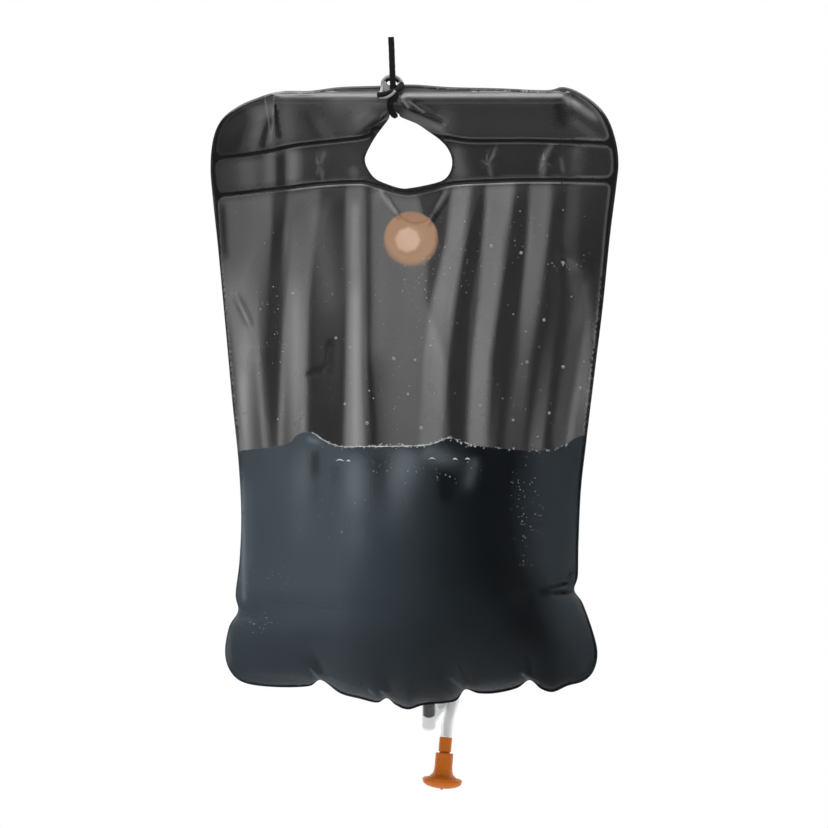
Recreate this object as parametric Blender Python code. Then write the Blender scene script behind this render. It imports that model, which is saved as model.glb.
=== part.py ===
"""Camp shower bag: a hanging film bag with water in it, a fill valve, an outlet, a hose and a spray head.

Metres, +Z up.  The origin is the upper end of the hanging rope, which carries everything.
-Y is the clear front film, +Y the black back film with the filler, the outlet and the hose.
"""
import math

import bpy
import bmesh
import numpy as np
from mathutils import Matrix, Vector, geometry

# Units and clearances

GAP = 0.0003                  # between pieces that touch or slide
CUT_OVER = 0.001              # how far a cutter runs past the face it leaves
EDGE_ROUND = 0.0006           # small broken edges of the moulded pieces

# The bag as it hangs

BAG_WIDTH = 0.408             # across the upper weld, where the films lie flat
BAG_HEIGHT = 0.625            # from the top edge to the lowest lobe
BAG_CENTRE_X = 0.0235         # centre line of the bag, beside the rope's end
BAG_TOP_Z = -0.0475           # top edge, below the rope's end
BAG_MID_Y = 0.009             # plane where the two films meet
FILM = 0.0006                 # one film
WELD_WIDTH = 0.0065           # perimeter weld with its trimmed margin
KEPT_SHARE = 0.93             # points of its inner edge nearer than this share are left out
FLAT_SHARE = 0.9              # of its width, where the films lie flat together
FULL_BULGE = 0.076            # half the thickness of the full part
FULL_DEPTH = 0.400            # from the lower weld down to the full thickness
BOTTOM_ROUND = 0.070          # how far above the bottom weld the bag is full again
SIDE_ROUNDNESS = 0.8
DEPTH_ROUNDNESS = 1.35
SIDES_TOP_SHARE = 0.1         # of the height: the side edges are read between these two levels
SIDES_FOOT_SHARE = 0.93
LOBES_SHARE = 0.945           # below this share of the height the edge counts as the bottom weld
POCKET_PUFF = 0.0015          # air left between the films above the upper weld
BAND_PUFF = 0.0004            # and between the two welds
PUFF_RAMP = 0.015
SEAT_MARGIN = 0.0020          # flat film round a fitting's flange
SEAT_BLEND = 0.0140
LONG_FOLD = 0.0050            # height of the long folds above the water, from foot to crest
LONG_FOLD_FULL = 0.0060       # how far the film stands out where they are full
LONG_FOLD_FOOT = 0.0450       # how far below the water line they run out
BACK_FOLD_FOOT = 0.0200       # on the back they end at the water line, over this
BACK_FOLD_SHARE = 0.8         # the back film folds the same way, by this share
BACK_FOLD_CLEAR = 0.0100      # flat film left round the valve's seat
BACK_FOLD_RAMP = 0.0300

# The hand hole, with the notch that the lashing pulls into its upper edge

HAND_HOLE_WIDTH = 0.087
HAND_HOLE_HEIGHT = 0.0765
HAND_HOLE_X = 0.0175
HAND_HOLE_Z = -0.1128
HOLE_WELD = 0.005

# The handle bar in its sleeve

BAR_DIAMETER = 0.014
BAR_LENGTH = 0.283
BAR_X = 0.0275                # middle of the bar
BAR_Z = -0.0627
BAR_END_ROUND = 0.002
SLEEVE_CLEARANCE = 0.0009     # film round the bar, on radius
SLEEVE_END = 0.0015
SLEEVE_TAPER = 0.015
DRAPE_SHARE = 0.86            # of the sleeve's radius, where the film leaves the bar
SLEEVE_ANGLES = (-90, -60, -30, 0, 30, 60, 90)
SLEEVE_POSTS = 15

# The water

WATER_LINE_Z = -0.4095
WATER_CLEARANCE = 0.0006
WATER_EDGE = 0.0060           # inside the perimeter weld
WATER_CREST = 0.0145          # how far the film draws it up beside the left fold

# The fill valve, through the back film

VALVE_X = 0.0200
VALVE_Z = -0.2015
VALVE_BULGE = 0.0120          # the film's place there, from the middle plane
FLANGE_DIAMETER = 0.054
FLANGE_THICKNESS = 0.0016
NECK_DIAMETER = 0.0280
NECK_BORE = 0.0220
NECK_LENGTH = 0.0135          # from the film's inner face
THREAD_PITCH = 0.0030
THREAD_TURNS = 2
THREAD_DEPTH = 0.0008
THREAD_START = 0.0045
CAP_DIAMETER = 0.0370
CAP_TOP = 0.0020
CAP_BASE = 0.0030             # skirt's lower edge, from the film's inner face
CAP_GROOVE_DEPTH = 0.0014
CAP_GROOVE_WIDTH = 0.0026
CAP_GROOVE_AT = 0.0075        # above the skirt's lower edge
CAP_RIBS = 24
CAP_RIB = 0.0007
GASKET_THICKNESS = 0.0012
TETHER_THICKNESS = 0.0012
TETHER_WIDTH = 0.0060
TETHER_RING_WALL = 0.0026
TETHER_TAB = 0.0040
TETHER_REACH = 0.0140         # how far the strap stands out beyond the cap
TETHER_RUN_SHARE = 1.6        # of the bow's radius, where the strap's flats begin
TETHER_BOW_ANGLES = (-60, -30, 0, 30, 60)
FLAP_DIAMETER = 0.0260
FLAP_THICKNESS = 0.0014
FLAP_BOSS_WIDTH = 0.0230      # across the corners of the eight-sided boss
FLAP_BOSS_TOP = 0.0202
FLAP_BOSS_HEIGHT = 0.0022
FLAP_BOSS_SIDES = 8
FLAP_BARREL = 0.0024
FLAP_BARREL_LENGTH = 0.0060
FLAP_PIN = 0.0011
FLAP_PIN_LENGTH = 0.0110
FLAP_HINGE_AT = 0.0150        # above the valve's axis
EAR_THICKNESS = 0.0016
EAR_WIDTH = 0.0040

# The outlet, through the back film above the bottom weld

OUTLET_X = 0.0380
OUTLET_RISE = 0.0255          # its hole's centre above the lowest lobe
OUTLET_Z = BAG_TOP_Z - BAG_HEIGHT + OUTLET_RISE
OUTLET_BULGE = 0.0380
OUTLET_TILT = math.radians(60)   # below the horizontal, pointing back
OUTLET_FLANGE = 0.0260
SPOUT_DIAMETER = 0.0118
SPOUT_BORE = 0.0070
SPOUT_LENGTH = 0.0370
CUP_DIAMETER = 0.0144
CUP_START = 0.0215            # along the spout
CUP_LENGTH = 0.0305
CUP_FLOOR = 0.0030
BRANCH_SHARE = 0.80           # where the branch leaves the cup, of its length
BRANCH_AIM_SHARES = (0.55, 0.25, 0.80)
BRANCH_LENGTH = 0.0180

# The hose

HOSE_DIAMETER = 0.0115
HOSE_BORE = 0.0078
HOSE_STEPS = 52
HOOK_STEPS = 36
ROPE_STEPS = 8
LASHING_STEPS = 44
BIGHT_STEPS = 8
KEEPER_WIDTH = 0.0140
KEEPER_TAB = 0.0140
KEEPER_THICKNESS = 0.0008
KEEPER_SEAT = 0.0008          # its tabs above the back film
KEEPER_ROOM = 0.0012          # round the hose, on radius
KEEPER_FOOT_SHARE = 1.5       # of the loop's radius, where its tabs begin
KEEPER_ANGLES = (70, 45, 20, 0, -20, -45, -70)

# The spray head, hanging from the hose

HEAD_OUT = 0.0170             # from the outlet's hole across, back and down to the collar's top
HEAD_BACK = 0.0610
HEAD_DROP = 0.0536
HEAD_X = OUTLET_X + HEAD_OUT
HEAD_Y = BAG_MID_Y + HEAD_BACK
HEAD_Z = OUTLET_Z - HEAD_DROP
HEAD_TILT = math.radians(4.9)
COLLAR_DIAMETER = 0.0127
COLLAR_LENGTH = 0.0146
STEM_DIAMETER = 0.0104
STEM_BORE = 0.0045
O_RING = 0.0016
O_RING_LAND = 0.0023          # width of its groove, and of the stem below the groove
HEAD_TRAVEL = 0.0060          # how far the sprayer slides down the stem
BODY_GAP = 0.0013             # open groove between collar and body when shut
BODY_DIAMETER = 0.0178
BODY_LENGTH = 0.0285
RIM_DIAMETER = 0.0400
RIM_THICKNESS = 0.0034
WALL = 0.0018
PLATE_CROWN = 0.0072
PLATE_LIP = 0.0014            # how far the plate's edge stands up inside the rim
NUB_DIAMETER = 0.0020
NUB_LENGTH = 0.0010
PLATE_STEPS = 6
SPRAY_HOLE = 0.0012
SPRAY_HOLES_A_RING = 6
SPRAY_RINGS = (0.0056, 0.0111)

# The hook, the rope and the lashing

HOOK_TUBE = 0.0037
ROPE_DIAMETER = 0.0060
LASHING_DIAMETER = 0.0050
BIGHT_DIAMETER = 0.0030

# Mesh fineness

FILM_GRID = 0.022
SAME_POINT = 0.0000001        # points of the films' plan closer than this are one
OUTLINE_STEPS = 2
HOLE_STEPS = 2
DENSE_STEPS = 24
TURN_SEGMENTS = 32
RIM_SEGMENTS = 36
ROUND_SEGMENTS = 24
WELL_SEGMENTS = 20
SMALL_SEGMENTS = 16
PIN_SEGMENTS = 12
FINE_SEGMENTS = 8
SMOOTH_ANGLE = math.radians(35)

# The bag's outline, clockwise from the top: shares of half its width and of its height

OUTLINE_SHARES = (
    (-0.012, 0.000), (0.174, 0.004), (0.419, 0.006), (0.645, 0.009), (0.728, 0.004), (0.811, 0.013),
    (0.900, 0.034), (0.953, 0.058), (0.988, 0.092), (1.000, 0.126), (0.990, 0.161), (0.958, 0.244),
    (0.924, 0.353), (0.885, 0.457), (0.843, 0.570), (0.816, 0.649), (0.804, 0.737), (0.801, 0.786),
    (0.784, 0.809), (0.826, 0.831), (0.880, 0.881), (0.897, 0.913), (0.875, 0.940), (0.826, 0.955),
    (0.752, 0.962), (0.679, 0.972), (0.620, 0.967), (0.564, 0.953), (0.502, 0.966), (0.395, 0.974),
    (0.311, 0.974), (0.248, 0.968), (0.208, 0.985), (0.150, 0.990), (0.047, 0.993), (-0.032, 1.000),
    (-0.091, 0.993), (-0.135, 0.982), (-0.184, 0.989), (-0.267, 0.983), (-0.365, 0.974),
    (-0.458, 0.953), (-0.522, 0.963), (-0.694, 0.964), (-0.836, 0.957), (-0.904, 0.938),
    (-0.929, 0.908), (-0.909, 0.868), (-0.865, 0.842), (-0.877, 0.815), (-0.858, 0.761),
    (-0.850, 0.689), (-0.863, 0.604), (-0.895, 0.502), (-0.929, 0.380), (-0.963, 0.262),
    (-0.988, 0.185), (-1.000, 0.134), (-0.988, 0.089), (-0.949, 0.058), (-0.875, 0.037),
    (-0.777, 0.022), (-0.659, 0.011), (-0.512, 0.010), (-0.365, 0.004), (-0.179, 0.002))

# The hand hole's edge: shares of half its width and half its height, from its centre, down positive

HOLE_SHARES = (
    (-0.471, -0.780), (-0.425, -0.924), (-0.322, -0.992), (-0.218, -0.924), (-0.161, -0.846),
    (0.195, -0.675), (0.471, -0.466), (0.724, -0.257), (0.908, -0.021), (1.000, 0.267),
    (0.966, 0.555), (0.816, 0.777), (0.517, 0.895), (0.034, 1.000), (-0.195, 1.000),
    (-0.494, 0.895), (-0.747, 0.764), (-0.908, 0.555), (-1.000, 0.293), (-0.954, 0.058),
    (-0.747, -0.361))

# The two welds across the bag, left to right: the same shares as the outline

LOWER_WELD_SHARES = (
    (-1.030, 0.178), (-0.953, 0.177), (-0.674, 0.169), (-0.458, 0.158), (-0.272, 0.154),
    (-0.203, 0.159), (-0.115, 0.169), (-0.027, 0.174), (0.071, 0.168), (0.174, 0.159),
    (0.287, 0.156), (0.576, 0.153), (0.978, 0.154), (1.030, 0.154))
UPPER_WELD_SHARES = (
    (-1.030, 0.116), (-0.968, 0.114), (-0.576, 0.097), (-0.346, 0.089), (-0.213, 0.079),
    (0.145, 0.084), (0.287, 0.090), (0.576, 0.090), (0.963, 0.094), (1.030, 0.094))

# The water line, left to right: shares of half the bag's width and of the crest's height

WATER_SHARES = (
    (-0.90, -0.20), (-0.83, -0.25), (-0.63, 0.15), (-0.575, 0.80), (-0.51, 1.00), (-0.44, 0.40),
    (-0.36, 0.00), (-0.24, 0.00), (0.05, 0.10), (0.17, 0.60), (0.25, 0.20), (0.40, -0.10),
    (0.59, -0.30), (0.71, -0.10), (0.80, 0.65), (0.90, 0.90))

# The long folds above the water, left to right: where the foot or crest of each lies at those
# levels, as shares of half the bag's width, and how far the film stands out there

FOLD_LEVEL_SHARES = (0.190, 0.249, 0.345, 0.441, 0.561, 0.640)
FOLD_SHARES = (
    ((-0.703, -0.718, -0.748, -0.757, -0.748, -0.745), 0.5),
    ((-0.620, -0.625, -0.645, -0.654, -0.654, -0.650), -0.5),
    ((-0.424, -0.473, -0.502, -0.522, -0.542, -0.550), 0.5),
    ((-0.321, -0.326, -0.341, -0.346, -0.346, -0.346), -0.5),
    ((-0.248, -0.248, -0.238, -0.243, -0.228, -0.225), 0.5),
    ((-0.145, -0.189, -0.189, -0.189, -0.169, -0.160), -0.1),
    ((0.184, 0.154, 0.086, 0.066, 0.027, 0.005), -0.5),
    ((0.301, 0.252, 0.184, 0.164, 0.135, 0.115), 0.5),
    ((0.355, 0.331, 0.277, 0.252, 0.233, 0.215), -0.5),
    ((0.478, 0.468, 0.424, 0.375, 0.346, 0.330), 0.5),
    ((0.566, 0.556, 0.507, 0.458, 0.419, 0.395), -0.5),
    ((0.684, 0.654, 0.645, 0.600, 0.547, 0.520), 0.5),
    ((0.752, 0.733, 0.735, 0.694, 0.645, 0.620), -0.5),
    ((0.841, 0.811, 0.815, 0.785, 0.745, 0.720), 0.4))

# The bell of the spray head, from its top down: shares of its radius and of its length

FLARE_SHARES = ((1.0, 0.45), (1.04, 0.60), (1.18, 0.74), (1.55, 0.85))

# The thread's section: shares of its depth beyond the neck and of its pitch along it

THREAD_SHARES = ((-0.5, -0.2), (1.0, -0.1), (1.0, 0.1), (-0.5, 0.2))

# Routes of the rope, the lashing, the hook and the hose, in metres: x, y, z

ROPE_ROUTE = ((0, 0, 0), (0.0006, 0, -0.012), (0.0010, 0, -0.024), (0.0014, 0, -0.036),
              (0.0018, 0, -0.046), (0.0020, -0.0001, -0.0528))
LASHING_ROUTE = (
    (0.0020, -0.0003, -0.0536), (0.0014, -0.0016, -0.0590), (-0.0008, -0.0026, -0.0650),
    (-0.0008, -0.0016, -0.0710), (0.0020, 0.0020, -0.0765), (0.0036, 0.0055, -0.0782),
    (0.0040, 0.0090, -0.0784), (0.0036, 0.0130, -0.0780), (0.0020, 0.0170, -0.0755),
    (0.0006, 0.0196, -0.0700), (0.0010, 0.0203, -0.0640), (0.0030, 0.0198, -0.0580),
    (0.0062, 0.0172, -0.0510), (0.0088, 0.0130, -0.0459), (0.0100, 0.0090, -0.0443),
    (0.0100, 0.0040, -0.0460), (0.0086, -0.0020, -0.0498), (0.0055, -0.0062, -0.0527),
    (0.0010, -0.0077, -0.0548), (-0.0050, -0.0079, -0.0567), (-0.0100, -0.0074, -0.0577),
    (-0.0135, -0.0066, -0.0580))
HOOK_ROUTE = (
    (0.0074, 0.0054, -0.0424), (0.0057, 0.0056, -0.0408), (0.0033, 0.0057, -0.0397),
    (0.0005, 0.0057, -0.0393), (-0.0030, 0.0057, -0.0397), (-0.0060, 0.0056, -0.0414),
    (-0.0080, 0.0055, -0.0443), (-0.0086, 0.0050, -0.0480), (-0.0090, 0.0036, -0.0515),
    (-0.0098, 0.0012, -0.0548), (-0.0107, -0.0012, -0.0585), (-0.0104, -0.0040, -0.0617),
    (-0.0078, -0.0066, -0.0626), (-0.0042, -0.0083, -0.0618), (-0.0008, -0.0100, -0.0600),
    (0.0024, -0.0120, -0.0572), (0.0045, -0.0132, -0.0545))
BIGHT_ROUTE = (
    (-0.0046, 0.0056, -0.0467), (-0.0029, 0.0056, -0.0444), (0.0006, 0.0057, -0.0431),
    (0.0038, 0.0057, -0.0441), (0.0053, 0.0056, -0.0459))

# The hose's route from the outlet round to the spray head, as offsets from the outlet's hole

HOSE_OFFSETS = (
    (0.0102, 0.0658, -0.0249), (0.0156, 0.0683, -0.0170), (0.0212, 0.0722, -0.0080),
    (0.0275, 0.0772, 0.0040), (0.0356, 0.0815, 0.0211), (0.0433, 0.0818, 0.0382),
    (0.0505, 0.0798, 0.0556), (0.0572, 0.0768, 0.0734), (0.0642, 0.0730, 0.0950),
    (0.0692, 0.0695, 0.1180), (0.0718, 0.0668, 0.1410), (0.0705, 0.0654, 0.1620),
    (0.0630, 0.0643, 0.1790), (0.0500, 0.0656, 0.1910), (0.0340, 0.0681, 0.1970),
    (0.0180, 0.0707, 0.1975), (0.0020, 0.0730, 0.1925), (-0.0125, 0.0745, 0.1815),
    (-0.0220, 0.0770, 0.1655), (-0.0255, 0.0795, 0.1470), (-0.0230, 0.0815, 0.1270),
    (-0.0165, 0.0832, 0.1050), (-0.0065, 0.0842, 0.0820), (0.0050, 0.0840, 0.0610),
    (0.0150, 0.0815, 0.0410), (0.0220, 0.0760, 0.0220), (0.0252, 0.0690, 0.0040),
    (0.0250, 0.0640, -0.0120), (0.0220, 0.0615, -0.0260), (0.0183, 0.0610, -0.0392),
    (0.0177, 0.0610, -0.0462), (0.0171, 0.0610, -0.0532))
HOSE_ROUTE = tuple((OUTLET_X + x, BAG_MID_Y + y, OUTLET_Z + z) for x, y, z in HOSE_OFFSETS)


# Clearing the file, materials and placing

def clear_scene():
    for obj in list(bpy.data.objects):
        bpy.data.objects.remove(obj, do_unlink=True)


def material(name, colour, roughness, metallic=0.0, alpha=1.0):
    made = bpy.data.materials.new(name)
    made.use_nodes = True
    shader = made.node_tree.nodes["Principled BSDF"]
    shader.inputs["Base Color"].default_value = (*colour, 1.0)
    shader.inputs["Roughness"].default_value = roughness
    shader.inputs["Metallic"].default_value = metallic
    shader.inputs["Alpha"].default_value = alpha
    made.diffuse_color = (*colour, alpha)
    return made


def add_object(name, mesh, finish, parent=None, place=(0, 0, 0)):
    obj = bpy.data.objects.new(name, mesh)
    bpy.context.collection.objects.link(obj)
    obj.parent = parent
    obj.location = place
    obj.data.materials.append(finish)
    if obj.type == "MESH":
        obj.data.shade_smooth()
        obj.data.set_sharp_from_angle(angle=SMOOTH_ANGLE)
    return obj


def add_empty(name, place, axis=None, parent=None):
    empty = bpy.data.objects.new(name, None)
    bpy.context.collection.objects.link(empty)
    empty.parent = parent
    empty.location = place
    if axis is not None:
        empty.rotation_mode = "QUATERNION"
        empty.rotation_quaternion = Vector(axis).to_track_quat("Z", "Y")
    return empty


# Smooth lines through hand-chosen points

def smooth_line(points, steps, closed=False):
    """A Catmull-Rom line through the points, with that many steps in each span."""
    known = np.array(points, dtype=float)
    count = len(known)
    spans = count if closed else count - 1
    line = []
    for i in range(spans):
        if closed:
            a, b, c, d = (known[(i + k) % count] for k in (-1, 0, 1, 2))
        else:
            b, c = known[i], known[i + 1]
            a = known[i - 1] if i > 0 else 2 * b - c
            d = known[i + 2] if i + 2 < count else 2 * c - b
        for s in range(steps):
            t = s / steps
            line.append((2 * b + (c - a) * t + (2 * a - 5 * b + 4 * c - d) * t * t
                         + (3 * b - a - 3 * c + d) * t ** 3) / 2)
    if not closed:
        line.append(known[-1])
    return np.array(line)


def even_points(points, count):
    """That many points at equal steps along the smooth line through the route."""
    dense = smooth_line(points, DENSE_STEPS)
    steps = np.linalg.norm(np.diff(dense, axis=0), axis=1)
    run = np.concatenate(([0], np.cumsum(steps)))
    at = np.linspace(0, run[-1], count)
    return np.stack([np.interp(at, run, dense[:, k]) for k in range(3)], axis=1), run[-1]


# The bag's plan: outline, hand hole and welds in x and z

def from_shares(shares):
    table = np.array(shares)
    return np.stack([BAG_CENTRE_X + table[:, 0] * BAG_WIDTH / 2,
                     BAG_TOP_Z - table[:, 1] * BAG_HEIGHT], axis=1)


def bag_outline():
    return smooth_line(from_shares(OUTLINE_SHARES), OUTLINE_STEPS, closed=True)


def hand_hole():
    table = np.array(HOLE_SHARES)
    edge = np.stack([HAND_HOLE_X + table[:, 0] * HAND_HOLE_WIDTH / 2,
                     HAND_HOLE_Z - table[:, 1] * HAND_HOLE_HEIGHT / 2], axis=1)
    return smooth_line(edge, HOLE_STEPS, closed=True)


def distance_to(points, line, closed=True):
    """Distance of each point to a polyline."""
    a = line
    b = np.roll(line, -1, axis=0)
    if not closed:
        a, b = line[:-1], line[1:]
    along = b - a
    rel = points[:, None, :] - a[None]
    t = (rel * along).sum(2) / np.maximum((along ** 2).sum(1), 1e-15)
    near = rel - np.clip(t, 0, 1)[..., None] * along
    return np.sqrt((near ** 2).sum(2)).min(1)


def inside(points, line):
    """Which points lie inside a closed polyline."""
    ends = np.roll(line, -1, axis=0)
    result = np.zeros(len(points), dtype=bool)
    for (x0, z0), (x1, z1) in zip(line, ends):
        if z0 == z1:
            continue
        crosses = (z0 > points[:, 1]) != (z1 > points[:, 1])
        at = (x1 - x0) * (points[:, 1] - z0) / (z1 - z0) + x0
        result ^= crosses & (points[:, 0] < at)
    return result


def inner_loop(outline, width):
    """The outline moved inwards by a width, kept clear of folding over at its notches."""
    ahead = np.roll(outline, -1, axis=0)
    behind = np.roll(outline, 1, axis=0)
    along = ahead - behind
    along /= np.linalg.norm(along, axis=1)[:, None]
    inward = np.stack([along[:, 1], -along[:, 0]], axis=1)
    moved = outline + inward * width
    if not inside(moved[:1], outline)[0]:
        moved = outline - inward * width
    clear = distance_to(moved, outline) > width * KEPT_SHARE
    return moved[clear]


OUTLINE = bag_outline()
HOLE = hand_hole()
LOWER_WELD = from_shares(LOWER_WELD_SHARES)
UPPER_WELD = from_shares(UPPER_WELD_SHARES)
WELD_LOOP = inner_loop(OUTLINE, WELD_WIDTH)


def side_x(z, sign):
    """Where the side edge of the bag is at each height."""
    edge = OUTLINE[(OUTLINE[:, 0] - BAG_CENTRE_X) * sign > BAG_WIDTH / 4]
    down = (BAG_TOP_Z - edge[:, 1]) / BAG_HEIGHT
    edge = edge[(down > SIDES_TOP_SHARE) & (down < SIDES_FOOT_SHARE)]
    edge = edge[np.argsort(edge[:, 1])]
    return np.interp(z, edge[:, 1], edge[:, 0])


# How far each film stands from the middle plane

def chamber_bulge(plan):
    """The water chamber: a lens across, fuller with depth, rounded in at the bottom."""
    x, z = plan[:, 0], plan[:, 1]
    left = side_x(z, -1) + WELD_WIDTH
    right = side_x(z, 1) - WELD_WIDTH
    across = np.clip((2 * x - left - right) / (right - left), -1, 1)
    lens = (1 - across ** 2) ** SIDE_ROUNDNESS
    depth = np.interp(x, LOWER_WELD[:, 0], LOWER_WELD[:, 1]) - z
    fill = 1 - (1 - np.clip(depth / FULL_DEPTH, 0, 1)) ** DEPTH_ROUNDNESS
    foot = OUTLINE[OUTLINE[:, 1] < BAG_TOP_Z - LOBES_SHARE * BAG_HEIGHT]
    foot = foot[np.argsort(foot[:, 0])]
    rise = np.clip((distance_to(plan, foot, closed=False) - WELD_WIDTH) / BOTTOM_ROUND, 0, 1)
    rounded = np.sqrt(1 - (1 - rise) ** 2)
    return FULL_BULGE * lens * fill * rounded * (depth > 0)


def fold_line(row):
    """The foot or crest of one long fold on the plan, from the top down."""
    table = np.array(row)
    return np.stack([BAG_CENTRE_X + table * BAG_WIDTH / 2,
                     BAG_TOP_Z - np.array(FOLD_LEVEL_SHARES) * BAG_HEIGHT], axis=1)


def fold_shape(plan):
    """The long folds as shares of their height: straight flanks between foot and crest."""
    x, z = plan[:, 0], plan[:, 1]
    knots = [side_x(z, -1) + WELD_WIDTH]
    for row, _ in FOLD_SHARES:
        line = fold_line(row)
        knots.append(np.interp(-z, -line[:, 1], line[:, 0]))
    knots.append(side_x(z, 1) - WELD_WIDTH)
    stand = [0, *(share for _, share in FOLD_SHARES), 0]
    shape = np.zeros(len(plan))
    for left, right, low, high in zip(knots, knots[1:], stand, stand[1:]):
        shape += (high - low) * np.clip((x - left) / (right - left), 0, 1)
    return shape


def fold_relief(plan, back):
    """How far the long folds move each film out. Both films buckle the same way."""
    full = np.clip(chamber_bulge(plan) / LONG_FOLD_FULL, 0, 1)
    above = plan[:, 1] - WATER_LINE_Z
    if not back:
        foot = np.clip(above / LONG_FOLD_FOOT + 1, 0, 1)
        return LONG_FOLD * fold_shape(plan) * full * foot
    foot = np.clip(above / BACK_FOLD_FOOT, 0, 1)
    reach = np.hypot(*(plan - (VALVE_X, VALVE_Z)).T)
    seat = FLANGE_DIAMETER / 2 + SEAT_MARGIN + BACK_FOLD_CLEAR
    clear = np.clip((reach - seat) / BACK_FOLD_RAMP, 0, 1)
    return -LONG_FOLD * BACK_FOLD_SHARE * fold_shape(plan) * full * foot * clear


def top_bulge(plan):
    """The sleeve round the bar, its drape down to the upper weld, and the flat band below."""
    x, z = plan[:, 0], plan[:, 1]
    radius = BAR_DIAMETER / 2 + SLEEVE_CLEARANCE
    beyond = np.abs(x - BAR_X) - BAR_LENGTH / 2 - SLEEVE_END
    held = 1 - np.clip(beyond / SLEEVE_TAPER, 0, 1)
    upper = np.interp(x, UPPER_WELD[:, 0], UPPER_WELD[:, 1])
    lower = np.interp(x, LOWER_WELD[:, 0], LOWER_WELD[:, 1])
    edge = np.clip((distance_to(plan, OUTLINE) - WELD_WIDTH) / PUFF_RAMP, 0, 1)
    hole = np.clip((distance_to(plan, HOLE) - HOLE_WELD) / PUFF_RAMP, 0, 1)
    down = BAR_Z - z
    round_part = np.sqrt(np.clip(radius ** 2 - down ** 2, 0, None)) * held
    run = np.clip((z - upper) / np.maximum(BAR_Z - radius / 2 - upper, WELD_WIDTH), 0, 1)
    drape = radius * DRAPE_SHARE * run * held * hole * (down > 0)
    puff = POCKET_PUFF * edge * hole * np.clip((z - upper) / PUFF_RAMP, 0, 1)
    between = np.clip((z - lower) / np.maximum(upper - lower, WELD_WIDTH), 0, 1)
    band = BAND_PUFF * np.sin(np.pi * between) * edge * hole
    return np.maximum.reduce([round_part, drape, puff, band])


def bulge(plan, back):
    """Half the space between the films, with the flat seats of the two fittings on the back."""
    plan = np.atleast_2d(plan)
    lower = np.interp(plan[:, 0], LOWER_WELD[:, 0], LOWER_WELD[:, 1])
    chamber = chamber_bulge(plan) + fold_relief(plan, back)
    height = np.where(plan[:, 1] < lower, chamber, top_bulge(plan))
    height[distance_to(plan, OUTLINE) < WELD_WIDTH * FLAT_SHARE] *= 0
    height = np.where(plan[:, 1] > BAR_Z - BAR_DIAMETER, top_bulge(plan), height)
    if back:
        offset = plan - (VALVE_X, VALVE_Z)
        seat = FLANGE_DIAMETER / 2 + SEAT_MARGIN
        keep = np.clip(1 - (np.hypot(*offset.T) - seat) / SEAT_BLEND, 0, 1)
        height = height * (1 - keep) + VALVE_BULGE * keep
        offset = plan - (OUTLET_X, OUTLET_Z)
        seat = OUTLET_FLANGE / 2 + SEAT_MARGIN / 2
        reach = np.hypot(offset[:, 0], offset[:, 1] / math.cos(OUTLET_TILT))
        keep = np.clip(1 - (reach - seat) / SEAT_BLEND, 0, 1)
        slope = OUTLET_BULGE + offset[:, 1] * math.tan(OUTLET_TILT)
        height = height * (1 - keep) + slope * keep
    return height + GAP / 2


def circle(x, z, radius, count, squash=1.0):
    angles = np.arange(count) * 2 * math.pi / count
    return np.stack([x + radius * np.cos(angles), z + radius * squash * np.sin(angles)], axis=1)


NECK_HOLE = circle(VALVE_X, VALVE_Z, NECK_DIAMETER / 2 + GAP, SMALL_SEGMENTS)
SPOUT_HOLE = circle(OUTLET_X, OUTLET_Z, SPOUT_DIAMETER / 2 + GAP, SMALL_SEGMENTS,
                    math.cos(OUTLET_TILT))


def water_line():
    table = np.array(WATER_SHARES)
    return np.stack([BAG_CENTRE_X + table[:, 0] * BAG_WIDTH / 2,
                     WATER_LINE_Z + table[:, 1] * WATER_CREST], axis=1)


WATER_LINE = water_line()


def plan_points():
    """Every line and point that the films' triangles keep, and the lines as index chains."""
    chains = []
    points = []

    def add(line, closed):
        first = len(points)
        points.extend(map(tuple, line))
        last = len(points)
        chains.extend((i, i + 1) for i in range(first, last - 1))
        if closed:
            chains.append((last - 1, first))

    add(OUTLINE, True)
    add(HOLE, True)
    add(WELD_LOOP, True)
    add(inner_loop(OUTLINE, WELD_WIDTH + WATER_EDGE)[::2], True)
    add(NECK_HOLE, True)
    add(SPOUT_HOLE, True)
    add(circle(VALVE_X, VALVE_Z, FLANGE_DIAMETER / 2 + SEAT_MARGIN, TURN_SEGMENTS), True)
    add(circle(OUTLET_X, OUTLET_Z, OUTLET_FLANGE / 2 + SEAT_MARGIN / 2, SMALL_SEGMENTS,
               math.cos(OUTLET_TILT)), True)
    for line in (LOWER_WELD, UPPER_WELD, WATER_LINE):
        keep = inside(line, WELD_LOOP) & ~inside(line, HOLE)
        keep &= distance_to(line, WELD_LOOP) > WELD_WIDTH / 2
        keep &= distance_to(line, HOLE) > HOLE_WELD / 2
        run = []
        for point, kept in zip(line, keep):
            if kept:
                run.append(point)
            elif run:
                add(run, False)
                run = []
        if run:
            add(run, False)
    for row, _ in FOLD_SHARES:
        add(fold_line(row), False)
    radius = BAR_DIAMETER / 2 + SLEEVE_CLEARANCE
    reach = BAR_LENGTH / 2 + SLEEVE_END
    for angle in SLEEVE_ANGLES:
        level = BAR_Z + radius * math.sin(math.radians(angle))
        add([(x, level) for x in np.linspace(BAR_X - reach, BAR_X + reach, SLEEVE_POSTS)], False)
    return points, chains


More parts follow.
